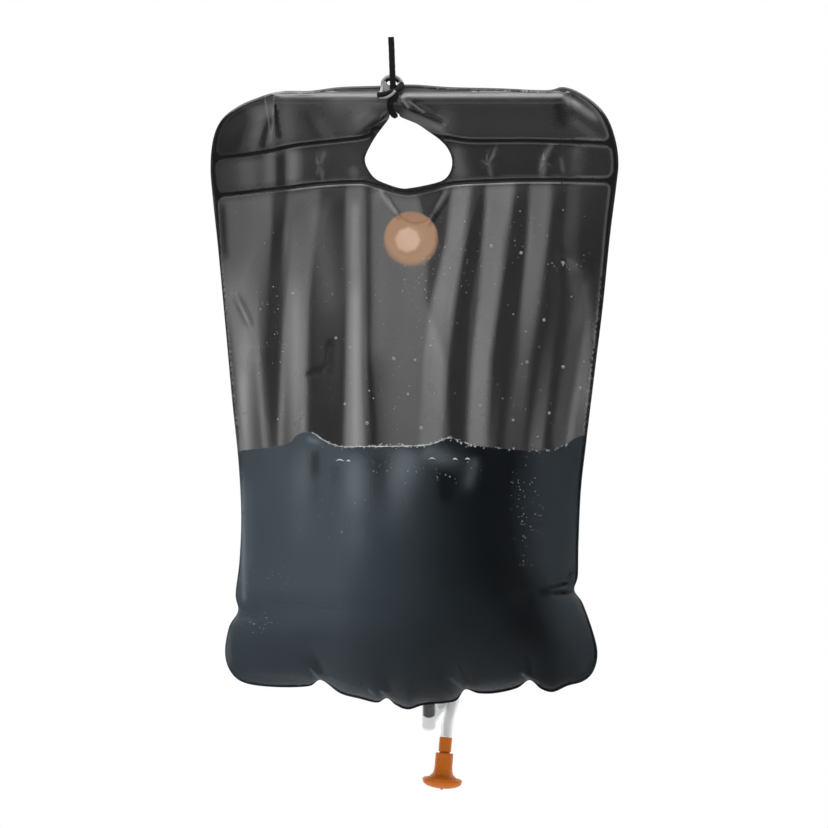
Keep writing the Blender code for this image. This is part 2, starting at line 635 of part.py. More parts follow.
def film_plan():
    """Triangles of the bag's plan, shared by both films and by the water."""
    points, chains = plan_points()
    known = np.array(points)
    grid = []
    row_height = FILM_GRID * math.sqrt(3) / 2
    for j in range(int(BAG_HEIGHT / row_height) + 1):
        for i in range(int(BAG_WIDTH / FILM_GRID) + 2):
            grid.append((BAG_CENTRE_X - BAG_WIDTH / 2 + (i + (j % 2) / 2) * FILM_GRID,
                         BAG_TOP_Z - j * row_height))
    grid = np.array(grid)
    near = np.sqrt(((grid[:, None] - known[None]) ** 2).sum(2)).min(1)
    grid = grid[inside(grid, WELD_LOOP) & ~inside(grid, HOLE) & (near > FILM_GRID / 2)]
    everything = [Vector(p) for p in points] + [Vector(p) for p in grid]
    verts, _, faces, _, _, _ = geometry.delaunay_2d_cdt(everything, chains, [], 0,
                                                          SAME_POINT)
    plan = np.array([tuple(v) for v in verts])
    tris = np.array(faces)
    middle = plan[tris].mean(1)
    keep = inside(middle, OUTLINE) & ~inside(middle, HOLE)
    return plan, tris[keep]


def shell_mesh(name, inner, outer, tris, flip):
    """A closed skin from two layers of one set of triangles, with a wall along each free edge."""
    edges = {}
    for tri in tris:
        for a, b in ((0, 1), (1, 2), (2, 0)):
            edges[(tri[a], tri[b])] = edges.get((tri[a], tri[b]), 0) + 1
    used = sorted(set(tris.ravel()))
    index = {v: i for i, v in enumerate(used)}
    half = len(used)
    faces = []
    for tri in tris:
        low = [index[v] for v in tri]
        high = [index[v] + half for v in tri]
        faces.append(low[::-1] if flip else low)
        faces.append(high if flip else high[::-1])
    for a, b in edges:
        if (b, a) in edges:
            continue
        i, j = index[a], index[b]
        wall = (i, j, j + half, i + half)
        faces.append(wall if flip else wall[::-1])
    mesh = bpy.data.meshes.new(name)
    mesh.from_pydata([tuple(p) for p in inner[used]] + [tuple(p) for p in outer[used]], [], faces)
    bm = bmesh.new()
    bm.from_mesh(mesh)
    bmesh.ops.recalc_face_normals(bm, faces=bm.faces)
    bm.to_mesh(mesh)
    bm.free()
    return mesh


def layer(plan, height, back):
    side = 1 if back else -1
    return np.stack([plan[:, 0], BAG_MID_Y + side * height, plan[:, 1]], axis=1)


def layer_normals(points, tris, back):
    corner = points[tris]
    normal = np.cross(corner[:, 1] - corner[:, 0], corner[:, 2] - corner[:, 0])
    side = 1 if back else -1
    normal *= np.sign(normal[:, 1] * side)[:, None]
    total = np.zeros_like(points)
    for k in range(3):
        np.add.at(total, tris[:, k], normal)
    length = np.linalg.norm(total, axis=1)
    length[length == 0] = 1
    return total / length[:, None]


def make_film(name, plan, tris, back, finish):
    inner = layer(plan, bulge(plan, back), back)
    outer = inner + FILM * layer_normals(inner, tris, back)
    return add_object(name, shell_mesh(name, inner, outer, tris, back), finish)


def make_water(plan, tris, finish):
    """The water between the films, below its line and inside the perimeter weld."""
    edge = inner_loop(OUTLINE, WELD_WIDTH + WATER_EDGE)[::2]
    middle = plan[tris].mean(1)
    level = np.interp(middle[:, 0], WATER_LINE[:, 0], WATER_LINE[:, 1])
    wet = tris[inside(middle, edge) & (middle[:, 1] < level)]
    layers = []
    for back in (False, True):
        skin = layer(plan, bulge(plan, back), back)
        inward = WATER_CLEARANCE
        if back:
            offset = plan - (OUTLET_X, OUTLET_Z)
            reach = np.hypot(offset[:, 0], offset[:, 1] / math.cos(OUTLET_TILT))
            seat = OUTLET_FLANGE / 2 + SEAT_MARGIN / 2
            keep = np.clip(1 - (reach - seat) / SEAT_BLEND, 0, 1)[:, None]
            inward = WATER_CLEARANCE + (FLANGE_THICKNESS + 2 * GAP) * (keep > 0)
        layers.append(skin - inward * layer_normals(skin, tris, back))
    return add_object("water_fill", shell_mesh("water_fill", layers[0], layers[1], wet, False),
                      finish)


# Turned and swept pieces

def turned(name, profile, segments=TURN_SEGMENTS, ridge=0, ridged=()):
    """A closed profile of radius and height turned about Z; the ridged rings go in and out."""
    mesh = bpy.data.meshes.new(name)
    bm = bmesh.new()
    rings = []
    for row, (radius, height) in enumerate(profile):
        if radius == 0:
            rings.append([bm.verts.new((0, 0, height))])
            continue
        ring = []
        for i in range(segments):
            at = 2 * math.pi * i / segments
            reach = radius - ridge * (i % 2) if row in ridged else radius
            ring.append(bm.verts.new((reach * math.cos(at), reach * math.sin(at), height)))
        rings.append(ring)
    closed = profile[0][0] > 0 and profile[-1][0] > 0
    pairs = list(zip(rings, rings[1:]))
    if closed:
        pairs.append((rings[-1], rings[0]))
    for low, high in pairs:
        for i in range(segments):
            j = (i + 1) % segments
            corners = [low[i % len(low)], low[j % len(low)], high[j % len(high)],
                       high[i % len(high)]]
            face = []
            for corner in corners:
                if corner not in face:
                    face.append(corner)
            if len(face) > 2:
                bm.faces.new(face)
    bmesh.ops.recalc_face_normals(bm, faces=bm.faces)
    bm.to_mesh(mesh)
    bm.free()
    return mesh


def box_mesh(name, size, centre=(0, 0, 0)):
    mesh = bpy.data.meshes.new(name)
    bm = bmesh.new()
    bmesh.ops.create_cube(bm, size=1.0)
    bmesh.ops.scale(bm, vec=size, verts=bm.verts)
    bmesh.ops.translate(bm, vec=centre, verts=bm.verts)
    bm.to_mesh(mesh)
    bm.free()
    return mesh


def rod_mesh(name, radius, length, axis="X", segments=SMALL_SEGMENTS, centre=(0, 0, 0)):
    mesh = turned(name, ((0, -length / 2), (radius, -length / 2), (radius, length / 2),
                         (0, length / 2)), segments)
    if axis == "X":
        mesh.transform(Matrix.Rotation(math.pi / 2, 4, "Y"))
    mesh.transform(Matrix.Translation(centre))
    return mesh


def combine(obj, mesh, operation="UNION"):
    """Joins a mesh in the object's own space to it, or cuts it away, with a Boolean."""
    tool = bpy.data.objects.new(obj.name + "_" + operation.lower() + "_tool", mesh)
    bpy.context.collection.objects.link(tool)
    tool.parent = obj
    tool.hide_render = True
    tool.display_type = "WIRE"
    change = obj.modifiers.new(operation.title(), "BOOLEAN")
    change.operation = operation
    change.solver = "EXACT"
    change.object = tool
    return tool


def swept(name, route, diameter, count, finish, resolution=2):
    """A round cord or tube along the smooth line through a route."""
    points, length = even_points(route, count)
    curve = bpy.data.curves.new(name, "CURVE")
    curve.dimensions = "3D"
    curve.bevel_depth = diameter / 2
    curve.bevel_resolution = resolution
    curve.use_fill_caps = True
    spline = curve.splines.new("POLY")
    spline.points.add(len(points) - 1)
    for point, place in zip(spline.points, points):
        point.co = (*place, 1)
    obj = bpy.data.objects.new(name, curve)
    bpy.context.collection.objects.link(obj)
    curve.materials.append(finish)
    print(name, "length", round(length, 4))
    return obj


def strip_mesh(name, path, widths_along, width, thickness):
    """A flat strap: a rectangle carried along a path of points, with its width along one axis."""
    path = np.array(path)
    across = np.array(widths_along, dtype=float)
    along = np.gradient(path, axis=0)
    along /= np.linalg.norm(along, axis=1)[:, None]
    up = np.cross(along, across)
    up /= np.linalg.norm(up, axis=1)[:, None]
    mesh = bpy.data.meshes.new(name)
    bm = bmesh.new()
    rings = []
    for centre, lift in zip(path, up):
        corners = []
        for a, b in ((-1, -1), (1, -1), (1, 1), (-1, 1)):
            corners.append(bm.verts.new(tuple(centre + a * across * width / 2
                                              + b * lift * thickness / 2)))
        rings.append(corners)
    for low, high in zip(rings, rings[1:]):
        for i in range(4):
            j = (i + 1) % 4
            bm.faces.new((low[i], low[j], high[j], high[i]))
    bm.faces.new(rings[0])
    bm.faces.new(rings[-1][::-1])
    bmesh.ops.recalc_face_normals(bm, faces=bm.faces)
    bm.to_mesh(mesh)
    bm.free()
    return mesh


# The handle bar

def make_bar(finish):
    radius = BAR_DIAMETER / 2
    half = BAR_LENGTH / 2
    profile = ((0, -half), (radius - BAR_END_ROUND, -half), (radius, -half + BAR_END_ROUND),
               (radius, half - BAR_END_ROUND), (radius - BAR_END_ROUND, half), (0, half))
    mesh = turned("handle_bar", profile, ROUND_SEGMENTS)
    mesh.transform(Matrix.Rotation(math.pi / 2, 4, "Y"))
    return add_object("handle_bar", mesh, finish, place=(BAR_X, BAG_MID_Y, BAR_Z))


# The fill valve: local Z runs out of the bag's back, zero at the film's inner face

def make_valve_flange(axis, finish):
    flange = FLANGE_DIAMETER / 2
    neck = NECK_DIAMETER / 2
    bore = NECK_BORE / 2
    profile = ((bore, -GAP - FLANGE_THICKNESS), (flange, -GAP - FLANGE_THICKNESS), (flange, -GAP),
               (neck, -GAP), (neck, NECK_LENGTH), (bore, NECK_LENGTH))
    obj = add_object("valve_flange", turned("valve_flange", profile), finish, axis)
    combine(obj, thread_mesh())
    low = -GAP - FLANGE_THICKNESS
    drop = FLAP_BARREL + GAP
    for side in (-1, 1):
        place = side * (FLAP_BARREL_LENGTH / 2 + GAP + EAR_THICKNESS / 2)
        ear = box_mesh("ear", (EAR_THICKNESS, EAR_WIDTH, drop + FLANGE_THICKNESS / 2),
                       (place, FLAP_HINGE_AT, low - drop / 2 + FLANGE_THICKNESS / 4))
        combine(obj, ear)
    hole = rod_mesh("hole", FLAP_PIN / 2 + GAP, FLAP_PIN_LENGTH + CUT_OVER,
                    centre=(0, FLAP_HINGE_AT, hinge_level()))
    combine(obj, hole, "DIFFERENCE")
    return obj


def hinge_level():
    """Local height of the flap's pin: its barrel clears the flange's inner face."""
    return -GAP - FLANGE_THICKNESS - GAP - FLAP_BARREL / 2


def thread_mesh():
    """A rounded thread of two turns standing on the neck, sunk into it and tapered at its ends."""
    steps = WELL_SEGMENTS
    total = THREAD_TURNS * steps
    neck = NECK_DIAMETER / 2
    mesh = bpy.data.meshes.new("thread")
    bm = bmesh.new()
    rings = []
    for i in range(total + 1):
        angle = 2 * math.pi * i / steps
        height = THREAD_START + THREAD_PITCH * i / steps
        fade = min(1, 4 * i / steps, 4 * (total - i) / steps)
        ring = []
        for out, rise in THREAD_SHARES:
            reach = out * fade - (1 - fade) / 4 if out > 0 else out
            radius = neck + THREAD_DEPTH * reach
            ring.append(bm.verts.new((radius * math.cos(angle), radius * math.sin(angle),
                                      height + THREAD_PITCH * rise)))
        rings.append(ring)
    for low, high in zip(rings, rings[1:]):
        for i in range(4):
            j = (i + 1) % 4
            bm.faces.new((low[i], low[j], high[j], high[i]))
    bm.faces.new(rings[0])
    bm.faces.new(rings[-1][::-1])
    bmesh.ops.recalc_face_normals(bm, faces=bm.faces)
    bm.to_mesh(mesh)
    bm.free()
    return mesh


def make_flap(axis, finish):
    """The one-way flap: origin on its hinge, hanging against the flange's inner face."""
    face = -GAP - FLANGE_THICKNESS - GAP
    level = hinge_level()
    radius = FLAP_DIAMETER / 2
    disc = turned("flap_valve", ((0, face - FLAP_THICKNESS), (radius, face - FLAP_THICKNESS),
                                 (radius, face), (0, face)), ROUND_SEGMENTS)
    disc.transform(Matrix.Translation((0, -FLAP_HINGE_AT, -level)))
    obj = add_object("flap_valve", disc, finish, axis, (0, FLAP_HINGE_AT, level))
    boss = turned("boss", ((0, face - FLAP_THICKNESS - FLAP_BOSS_HEIGHT),
                           (FLAP_BOSS_TOP / 2, face - FLAP_THICKNESS - FLAP_BOSS_HEIGHT),
                           (FLAP_BOSS_WIDTH / 2, face - FLAP_THICKNESS / 2),
                           (0, face - FLAP_THICKNESS / 2)), FLAP_BOSS_SIDES)
    boss.transform(Matrix.Translation((0, -FLAP_HINGE_AT, -level)))
    combine(obj, boss)
    arm = FLAP_HINGE_AT - radius + FLAP_THICKNESS
    neck = box_mesh("arm", (FLAP_BARREL_LENGTH - 4 * GAP, arm, FLAP_THICKNESS - GAP),
                    (0, -arm / 2, face - FLAP_THICKNESS / 2 - level))
    combine(obj, neck)
    combine(obj, rod_mesh("barrel", FLAP_BARREL / 2, FLAP_BARREL_LENGTH, segments=PIN_SEGMENTS))
    combine(obj, rod_mesh("pin_hole", FLAP_PIN / 2 + GAP, FLAP_BARREL_LENGTH + CUT_OVER,
                          segments=PIN_SEGMENTS - 2), "DIFFERENCE")
    return obj


def make_flap_pin(axis, finish):
    mesh = rod_mesh("flap_hinge_pin", FLAP_PIN / 2, FLAP_PIN_LENGTH)
    return add_object("flap_hinge_pin", mesh, finish, axis, (0, FLAP_HINGE_AT, hinge_level()))


def cap_levels():
    """Local heights of the cap's skirt edge, groove, inner roof and top."""
    roof = NECK_LENGTH + GAP + GASKET_THICKNESS + GAP
    return CAP_BASE, CAP_BASE + CAP_GROOVE_AT, roof, roof + CAP_TOP


def make_cap(axis, finish):
    """The screw cap, ribbed for grip below the groove that the tether's ring turns in."""
    base, groove, roof, top = cap_levels()
    outer = CAP_DIAMETER / 2
    inner = NECK_DIAMETER / 2 + THREAD_DEPTH + GAP
    waist = outer - CAP_GROOVE_DEPTH
    profile = ((inner, base), (outer, base), (outer, groove), (waist, groove),
               (waist, groove + CAP_GROOVE_WIDTH), (outer, groove + CAP_GROOVE_WIDTH),
               (outer, top - CAP_TOP / 2), (outer - CAP_TOP / 2, top), (0, top), (0, roof),
               (inner, roof))
    mesh = turned("fill_cap", profile, 2 * CAP_RIBS, ridge=CAP_RIB, ridged=(1, 2))
    return add_object("fill_cap", mesh, finish, axis)


def make_gasket(axis, finish):
    inner = NECK_BORE / 2 + GAP
    outer = NECK_DIAMETER / 2 - GAP
    low = NECK_LENGTH + GAP
    high = low + GASKET_THICKNESS
    profile = ((inner, low), (outer, low), (outer, high), (inner, high))
    return add_object("cap_gasket", turned("cap_gasket", profile), finish, axis)


def make_tether_ring(axis, finish):
    """The ring that stays in the cap's groove while the cap turns in it, with its tab."""
    groove = cap_levels()[1]
    inner = CAP_DIAMETER / 2 - CAP_GROOVE_DEPTH + GAP
    outer = CAP_DIAMETER / 2 + TETHER_RING_WALL - CAP_GROOVE_DEPTH
    low, high = groove + GAP, groove + CAP_GROOVE_WIDTH - GAP
    profile = ((inner, low), (outer, low), (outer, high), (inner, high))
    obj = add_object("tether_ring", turned("tether_ring", profile), finish, axis)
    tab = box_mesh("tab", (TETHER_TAB, TETHER_WIDTH, high - low),
                   (outer + TETHER_TAB / 2 - TETHER_RING_WALL / 4, 0, (low + high) / 2))
    combine(obj, tab)
    return obj


def make_tether(axis, finish):
    """The strap: a ring round the neck under the cap, and a band that bows out to the cap's ring."""
    inner = NECK_DIAMETER / 2 + GAP
    outer = inner + TETHER_RING_WALL
    low = FILM + GAP
    high = low + TETHER_THICKNESS
    profile = ((inner, low), (outer, low), (outer, high), (inner, high))
    obj = add_object("tether_strap", turned("tether_strap", profile), finish, axis)
    middle = (low + high) / 2
    level = cap_levels()[1] + CAP_GROOVE_WIDTH / 2
    ring_end = (CAP_DIAMETER / 2 + TETHER_RING_WALL - CAP_GROOVE_DEPTH + TETHER_TAB
                - TETHER_RING_WALL / 4 + GAP)
    far = CAP_DIAMETER / 2 + TETHER_REACH
    rise = level - middle
    turn = rise / 2
    flat_end = far - turn * TETHER_RUN_SHARE
    route = [(outer - TETHER_RING_WALL / 3, 0, middle), (flat_end, 0, middle)]
    for angle in TETHER_BOW_ANGLES:
        at = math.radians(angle)
        route.append((far - turn + turn * math.cos(at), 0, middle + turn + turn * math.sin(at)))
    route += [(flat_end, 0, level), (ring_end, 0, level)]
    strap = strip_mesh("strap", smooth_line(route, 2), (0, 1, 0), TETHER_WIDTH, TETHER_THICKNESS)
    combine(obj, strap)
    return obj


# The outlet: local Z runs along the spout, zero at the film's inner face

def make_spout(axis, finish):
    flange = OUTLET_FLANGE / 2
    tube = SPOUT_DIAMETER / 2
    bore = SPOUT_BORE / 2
    edge = tube - bore
    profile = ((bore, -GAP - FLANGE_THICKNESS), (flange, -GAP - FLANGE_THICKNESS), (flange, -GAP),
               (tube, -GAP), (tube, SPOUT_LENGTH - edge / 2), (tube - edge / 2, SPOUT_LENGTH),
               (bore, SPOUT_LENGTH))
    return add_object("outlet_spout", turned("outlet_spout", profile, ROUND_SEGMENTS),
                      finish, axis)


def branch_aim():
    return Vector(BRANCH_AIM_SHARES).normalized()


def make_elbow(axis, finish):
    """The clear cup pushed on the spout, with a branch that turns the flow back up to the hose."""
    outer = CUP_DIAMETER / 2
    inner = SPOUT_DIAMETER / 2 + GAP
    end = CUP_START + CUP_LENGTH
    profile = ((0, CUP_START), (outer, CUP_START), (outer, end - CUP_FLOOR),
               (outer - CUP_FLOOR / 4, end - CUP_FLOOR / 3), (outer - CUP_FLOOR, end), (0, end))
    obj = add_object("outlet_elbow", turned("outlet_elbow", profile, ROUND_SEGMENTS),
                     finish, axis)
    bpy.context.view_layer.update()
    turn = axis.matrix_world.to_3x3().inverted() @ branch_aim()
    spin = turn.to_track_quat("Z", "Y").to_matrix().to_4x4()
    root = Matrix.Translation((0, 0, CUP_START + CUP_LENGTH * BRANCH_SHARE))
    well = CUP_LENGTH - CUP_FLOOR + CUT_OVER
    cut = rod_mesh("well", inner, well, "Z", WELL_SEGMENTS,
                   (0, 0, CUP_START - CUT_OVER + well / 2))
    for radius, over, job in ((HOSE_DIAMETER / 2, 0, "UNION"),
                              (HOSE_BORE / 2, CUT_OVER, "DIFFERENCE")):
        length = BRANCH_LENGTH + over
        rod = rod_mesh("branch", radius, length, "Z", SMALL_SEGMENTS)
        rod.transform(root @ spin @ Matrix.Translation((0, 0, length / 2)))
        combine(obj, rod, job)
        if job == "UNION":
            combine(obj, cut, "DIFFERENCE")
    return obj


def back_film_y(x, z):
    """Outer face of the back film."""
    return BAG_MID_Y + bulge(np.array([[x, z]]), True)[0] + FILM


def make_keeper(finish):
    """A strap of film welded to the back above and below the top of the hose's arch."""
    x, y, z = max(even_points(HOSE_ROUTE, 8 * HOSE_STEPS)[0], key=lambda point: point[2])
    ring = HOSE_DIAMETER / 2 + KEEPER_ROOM + KEEPER_THICKNESS / 2
    foot = ring * KEEPER_FOOT_SHARE
    fall = back_film_y(x + KEEPER_WIDTH / 2, z) - back_film_y(x - KEEPER_WIDTH / 2, z)
    across = Vector((KEEPER_WIDTH, fall, 0)).normalized()
    seat = KEEPER_THICKNESS / 2 + KEEPER_SEAT
    path = []
    for rise in (foot + KEEPER_TAB, foot + KEEPER_TAB / 2, foot):
        path.append((x, back_film_y(x, z + rise) + seat, z + rise))
    for angle in KEEPER_ANGLES:
        at = math.radians(angle)
        path.append((x, y + ring * math.cos(at), z + ring * math.sin(at)))
    for rise in (-foot, -foot - KEEPER_TAB / 2, -foot - KEEPER_TAB):
        path.append((x, back_film_y(x, z + rise) + seat, z + rise))
    mesh = strip_mesh("hose_keeper", path, across, KEEPER_WIDTH, KEEPER_THICKNESS)
    return add_object("hose_keeper", mesh, finish)


# The spray head: local Z runs up its axis, zero at the collar's top, where the hose ends

def make_collar(axis, finish):
    """The collar that grips the hose, and the stem below it that the sprayer slides on."""
    collar = COLLAR_DIAMETER / 2
    stem = STEM_DIAMETER / 2
    bore = STEM_BORE / 2
    low = o_ring_level() - O_RING_LAND / 2
    high = low + O_RING_LAND
    foot = low - O_RING_LAND / 2
    land = stem - O_RING / 2
    profile = ((0, foot), (stem, foot), (stem, low), (land, low), (land, high), (stem, high),
               (stem, -COLLAR_LENGTH), (collar, -COLLAR_LENGTH), (collar, -EDGE_ROUND),
               (collar - EDGE_ROUND, 0), (bore, 0), (bore, foot + WALL), (0, foot + WALL))
    obj = add_object("head_collar", turned("head_collar", profile, ROUND_SEGMENTS), finish, axis)
    port = rod_mesh("port", bore / 2, STEM_DIAMETER + CUT_OVER, "X", FINE_SEGMENTS,
                    (0, 0, high + bore))
    combine(obj, port, "DIFFERENCE")
    return obj


def make_o_ring(axis, finish):
    inner = STEM_DIAMETER / 2 - O_RING / 2 + GAP
    middle = inner + O_RING / 2
    profile = circle(middle, o_ring_level(), O_RING / 2, FINE_SEGMENTS)
    return add_object("stem_o_ring", turned("stem_o_ring", profile, ROUND_SEGMENTS), finish, axis)


def head_levels():
    """Heights of the sprayer's top and of its rim's two edges."""
    top = -COLLAR_LENGTH - BODY_GAP
    rim = top - BODY_LENGTH
    return top, rim + RIM_THICKNESS, rim


def o_ring_level():
    """The ring's height: the sprayer's lip meets it when the sprayer is pulled right down."""
    return head_levels()[0] - WALL - HEAD_TRAVEL - GAP - O_RING / 2


def make_body(axis, finish):
    """The bell that slides on the stem: a socket above, flaring to the rim that holds the plate."""
    top, rim_top, rim = head_levels()
    outer = BODY_DIAMETER / 2
    reach = RIM_DIAMETER / 2
    socket = STEM_DIAMETER / 2 + O_RING / 2 + 2 * GAP
    mouth = STEM_DIAMETER / 2 + GAP
    seat = reach - WALL
    shelf = rim + PLATE_LIP + GAP
    outside = [(outer - EDGE_ROUND, top), (outer, top - EDGE_ROUND)]
    outside += [(outer * wide, top - BODY_LENGTH * down) for wide, down in FLARE_SHARES]
    outside += [(reach - RIM_THICKNESS / 2, rim_top), (reach, (rim_top + rim) / 2), (reach, rim)]
    inner = [(seat, rim), (seat, shelf), (seat - WALL, shelf),
             (outer + WALL, rim_top + WALL), (socket, top - BODY_LENGTH * FLARE_SHARES[1][1]),
             (socket, top - WALL), (mouth, top - WALL), (mouth, top)]
    return add_object("head_body", turned("head_body", outside + inner, RIM_SEGMENTS), finish, axis)


def make_plate(axis, finish):
    """The convex spray face, pressed up into the rim, with its rings of holes."""
    rim = head_levels()[2]
    lip = RIM_DIAMETER / 2 - WALL - GAP
    edge = RIM_DIAMETER / 2 - GAP
    drop = rim - GAP
    crown = []
    under = []
    for i in range(PLATE_STEPS + 1):
        at = math.pi / 2 * i / PLATE_STEPS
        crown.append((edge * math.cos(at), drop - PLATE_CROWN * math.sin(at)))
        under.append(((lip - WALL) * math.cos(at),
                      rim + PLATE_LIP - (PLATE_CROWN + PLATE_LIP - WALL + GAP) * math.sin(at)))
    crown[-1] = (0, drop - PLATE_CROWN)
    under[-1] = (0, under[-1][1])
    profile = [(lip, rim + PLATE_LIP), (lip, drop)] + crown + under[::-1]
    obj = add_object("spray_plate", turned("spray_plate", profile, RIM_SEGMENTS), finish, axis)
    for ring, radius in enumerate(SPRAY_RINGS, start=1):
        for x, y in circle(0, 0, radius, SPRAY_HOLES_A_RING * ring):
            hole = rod_mesh("hole", SPRAY_HOLE / 2, RIM_DIAMETER / 2, "Z", FINE_SEGMENTS - 2,
                            (x, y, rim))
            hole.transform(Matrix.Rotation(math.pi / RIM_SEGMENTS, 4, "Z"))
            combine(obj, hole, "DIFFERENCE")
    nub = rod_mesh("nub", NUB_DIAMETER / 2, 2 * NUB_LENGTH, "Z", FINE_SEGMENTS,
                   (0, 0, drop - PLATE_CROWN))
    combine(obj, nub)
    return obj


def make_finishes():
    return {
        "clear": material("clear_film", (0.20, 0.20, 0.21), 0.25, alpha=0.55),
        "black": material("black_film", (0.020, 0.020, 0.022), 0.3),
        "bar": material("bar_plastic", (0.05, 0.05, 0.05), 0.4),
        "water": material("water", (0.05, 0.07, 0.09), 0.05),
        "orange": material("orange_plastic", (0.46, 0.12, 0.018), 0.42),
        "silicone": material("pale_silicone", (0.62, 0.50, 0.40), 0.5),
        "steel": material("steel_pin", (0.55, 0.55, 0.55), 0.3, metallic=1.0),
        "black_plastic": material("black_plastic", (0.012, 0.012, 0.013), 0.35),
        "vinyl": material("clear_vinyl", (0.70, 0.71, 0.71), 0.12, alpha=0.6),
        "rubber": material("black_rubber", (0.02, 0.02, 0.02), 0.7),
        "grey": material("grey_plastic", (0.30, 0.30, 0.30), 0.45),
        "rope": material("black_cord", (0.018, 0.018, 0.018), 0.8),
    }


def main():
    clear_scene()
    finish = make_finishes()
    plan, tris = film_plan()
    middle = plan[tris].mean(1)
    pierced = tris[~inside(middle, NECK_HOLE) & ~inside(middle, SPOUT_HOLE)]
    make_film("front_panel", plan, tris, False, finish["clear"])
    make_film("back_panel", plan, pierced, True, finish["black"])
    make_water(plan, tris, finish["water"])
    make_bar(finish["bar"])

    face = BAG_MID_Y + GAP / 2
    valve = add_empty("valve_axis", (VALVE_X, face + VALVE_BULGE, VALVE_Z), (0, 1, 0))
    make_valve_flange(valve, finish["orange"])
    make_flap(valve, finish["silicone"])
    make_flap_pin(valve, finish["steel"])
    make_cap(valve, finish["orange"])
    make_gasket(valve, finish["rubber"])
    make_tether_ring(valve, finish["orange"])
    make_tether(valve, finish["orange"])

    down = (0, math.cos(OUTLET_TILT), -math.sin(OUTLET_TILT))
    outlet = add_empty("outlet_axis", (OUTLET_X, face + OUTLET_BULGE, OUTLET_Z), down)
    make_spout(outlet, finish["black_plastic"])
    make_elbow(outlet, finish["vinyl"])
    swept("hose", HOSE_ROUTE, HOSE_DIAMETER, HOSE_STEPS, finish["vinyl"], 3)
    make_keeper(finish["black"])

    head = add_empty("head_axis", (HEAD_X, HEAD_Y, HEAD_Z),
                     (math.sin(HEAD_TILT), 0, math.cos(HEAD_TILT)))
    make_collar(head, finish["orange"])
    make_o_ring(head, finish["rubber"])
    make_body(head, finish["orange"])
    make_plate(head, finish["orange"])

    swept("hook", HOOK_ROUTE, HOOK_TUBE, HOOK_STEPS, finish["grey"])
    swept("hanging_rope", ROPE_ROUTE, ROPE_DIAMETER, ROPE_STEPS, finish["rope"], 3)
    swept("bar_lashing", LASHING_ROUTE, LASHING_DIAMETER, LASHING_STEPS, finish["rope"])
    swept("hook_bight", BIGHT_ROUTE, BIGHT_DIAMETER, BIGHT_STEPS, finish["rope"])


main()
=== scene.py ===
# %% [markdown]
# # A camp shower bag, hanging from its rope
# The bag is two films welded together round a chamber of water. One film is clear and hazy, the
# other is black to take up the sun's heat. The exact pieces come from a imported CAD frame, and this
# lesson dresses them: every soft piece is rebuilt as a fine mesh where its plain CAD solid lies,
# and every hard piece gets a finish of its own.

# %% Load the frame
import math

import bmesh
import bpy
import numpy as np
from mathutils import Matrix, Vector, geometry, kdtree


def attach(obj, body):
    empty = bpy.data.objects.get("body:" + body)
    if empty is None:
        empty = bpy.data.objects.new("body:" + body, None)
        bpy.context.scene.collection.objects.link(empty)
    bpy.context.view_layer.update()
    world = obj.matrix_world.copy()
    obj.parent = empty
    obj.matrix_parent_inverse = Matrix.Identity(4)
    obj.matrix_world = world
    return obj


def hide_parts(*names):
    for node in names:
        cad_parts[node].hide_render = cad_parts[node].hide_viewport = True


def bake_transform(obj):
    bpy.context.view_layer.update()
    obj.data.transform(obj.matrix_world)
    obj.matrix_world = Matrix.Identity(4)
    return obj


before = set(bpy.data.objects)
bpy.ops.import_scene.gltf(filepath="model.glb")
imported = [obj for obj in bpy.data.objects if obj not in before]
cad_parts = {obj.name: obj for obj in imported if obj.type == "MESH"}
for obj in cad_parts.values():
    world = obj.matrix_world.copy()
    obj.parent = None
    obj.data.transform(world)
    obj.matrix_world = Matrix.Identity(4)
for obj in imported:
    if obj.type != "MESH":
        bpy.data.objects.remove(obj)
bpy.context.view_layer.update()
print("nodes:", len(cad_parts))

# %% [markdown]
# ## The camera
# The photograph looks straight at the clear film from far away, so there is hardly any
# perspective. A very long lens far off gives that. One could use an orthographic camera, but a
# lens keeps the trace of convergence that a photograph has.

# %% Place the camera
BAG_MID_Y = 0.009
CAMERA_DISTANCE = 40.0
VIEW_WIDTH = 0.828
VIEW_CENTRE_X = 0.023
VIEW_CENTRE_Z = -0.377
SENSOR_MM = 36.0


def placed(name, data):
    """A new object in the scene."""
    obj = bpy.data.objects.new(name, data)
    bpy.context.collection.objects.link(obj)
    return obj


camera_data = bpy.data.cameras.new("camera")
camera = placed("camera", camera_data)
camera.location = (VIEW_CENTRE_X, BAG_MID_Y - CAMERA_DISTANCE, VIEW_CENTRE_Z)
camera.rotation_euler = (math.pi / 2, 0, 0)
camera_data.sensor_width = SENSOR_MM
camera_data.lens = SENSOR_MM * CAMERA_DISTANCE / VIEW_WIDTH
camera_data.clip_end = 10 * CAMERA_DISTANCE
bpy.context.scene.camera = camera
print("lens", round(camera_data.lens), "mm")

# %% [markdown]
# ## Smooth lines
# Cords, folds and the bag's outline all start as a few chosen points. A Catmull-Rom line passes
# through every one of them with no kink, which a polyline doesn't, and it is easier to steer than
# a Bezier curve with handles.

# %% Read smooth lines through points
ROUTE_STEPS = 24


def smooth_line(points, steps, closed=False):
    """A Catmull-Rom line through the points, with that many steps in each span."""
    known = np.array(points, dtype=float)
    count = len(known)
    line = []
    for i in range(count if closed else count - 1):
        if closed:
            a, b, c, d = (known[(i + k) % count] for k in (-1, 0, 1, 2))
        else:
            b, c = known[i], known[i + 1]
            a = known[i - 1] if i > 0 else 2 * b - c
            d = known[i + 2] if i + 2 < count else 2 * c - b
        for s in range(steps):
            t = s / steps
            line.append((2 * b + (c - a) * t + (2 * a - 5 * b + 4 * c - d) * t * t
                         + (3 * b - a - 3 * c + d) * t ** 3) / 2)
    if not closed:
        line.append(known[-1])
    return np.array(line)


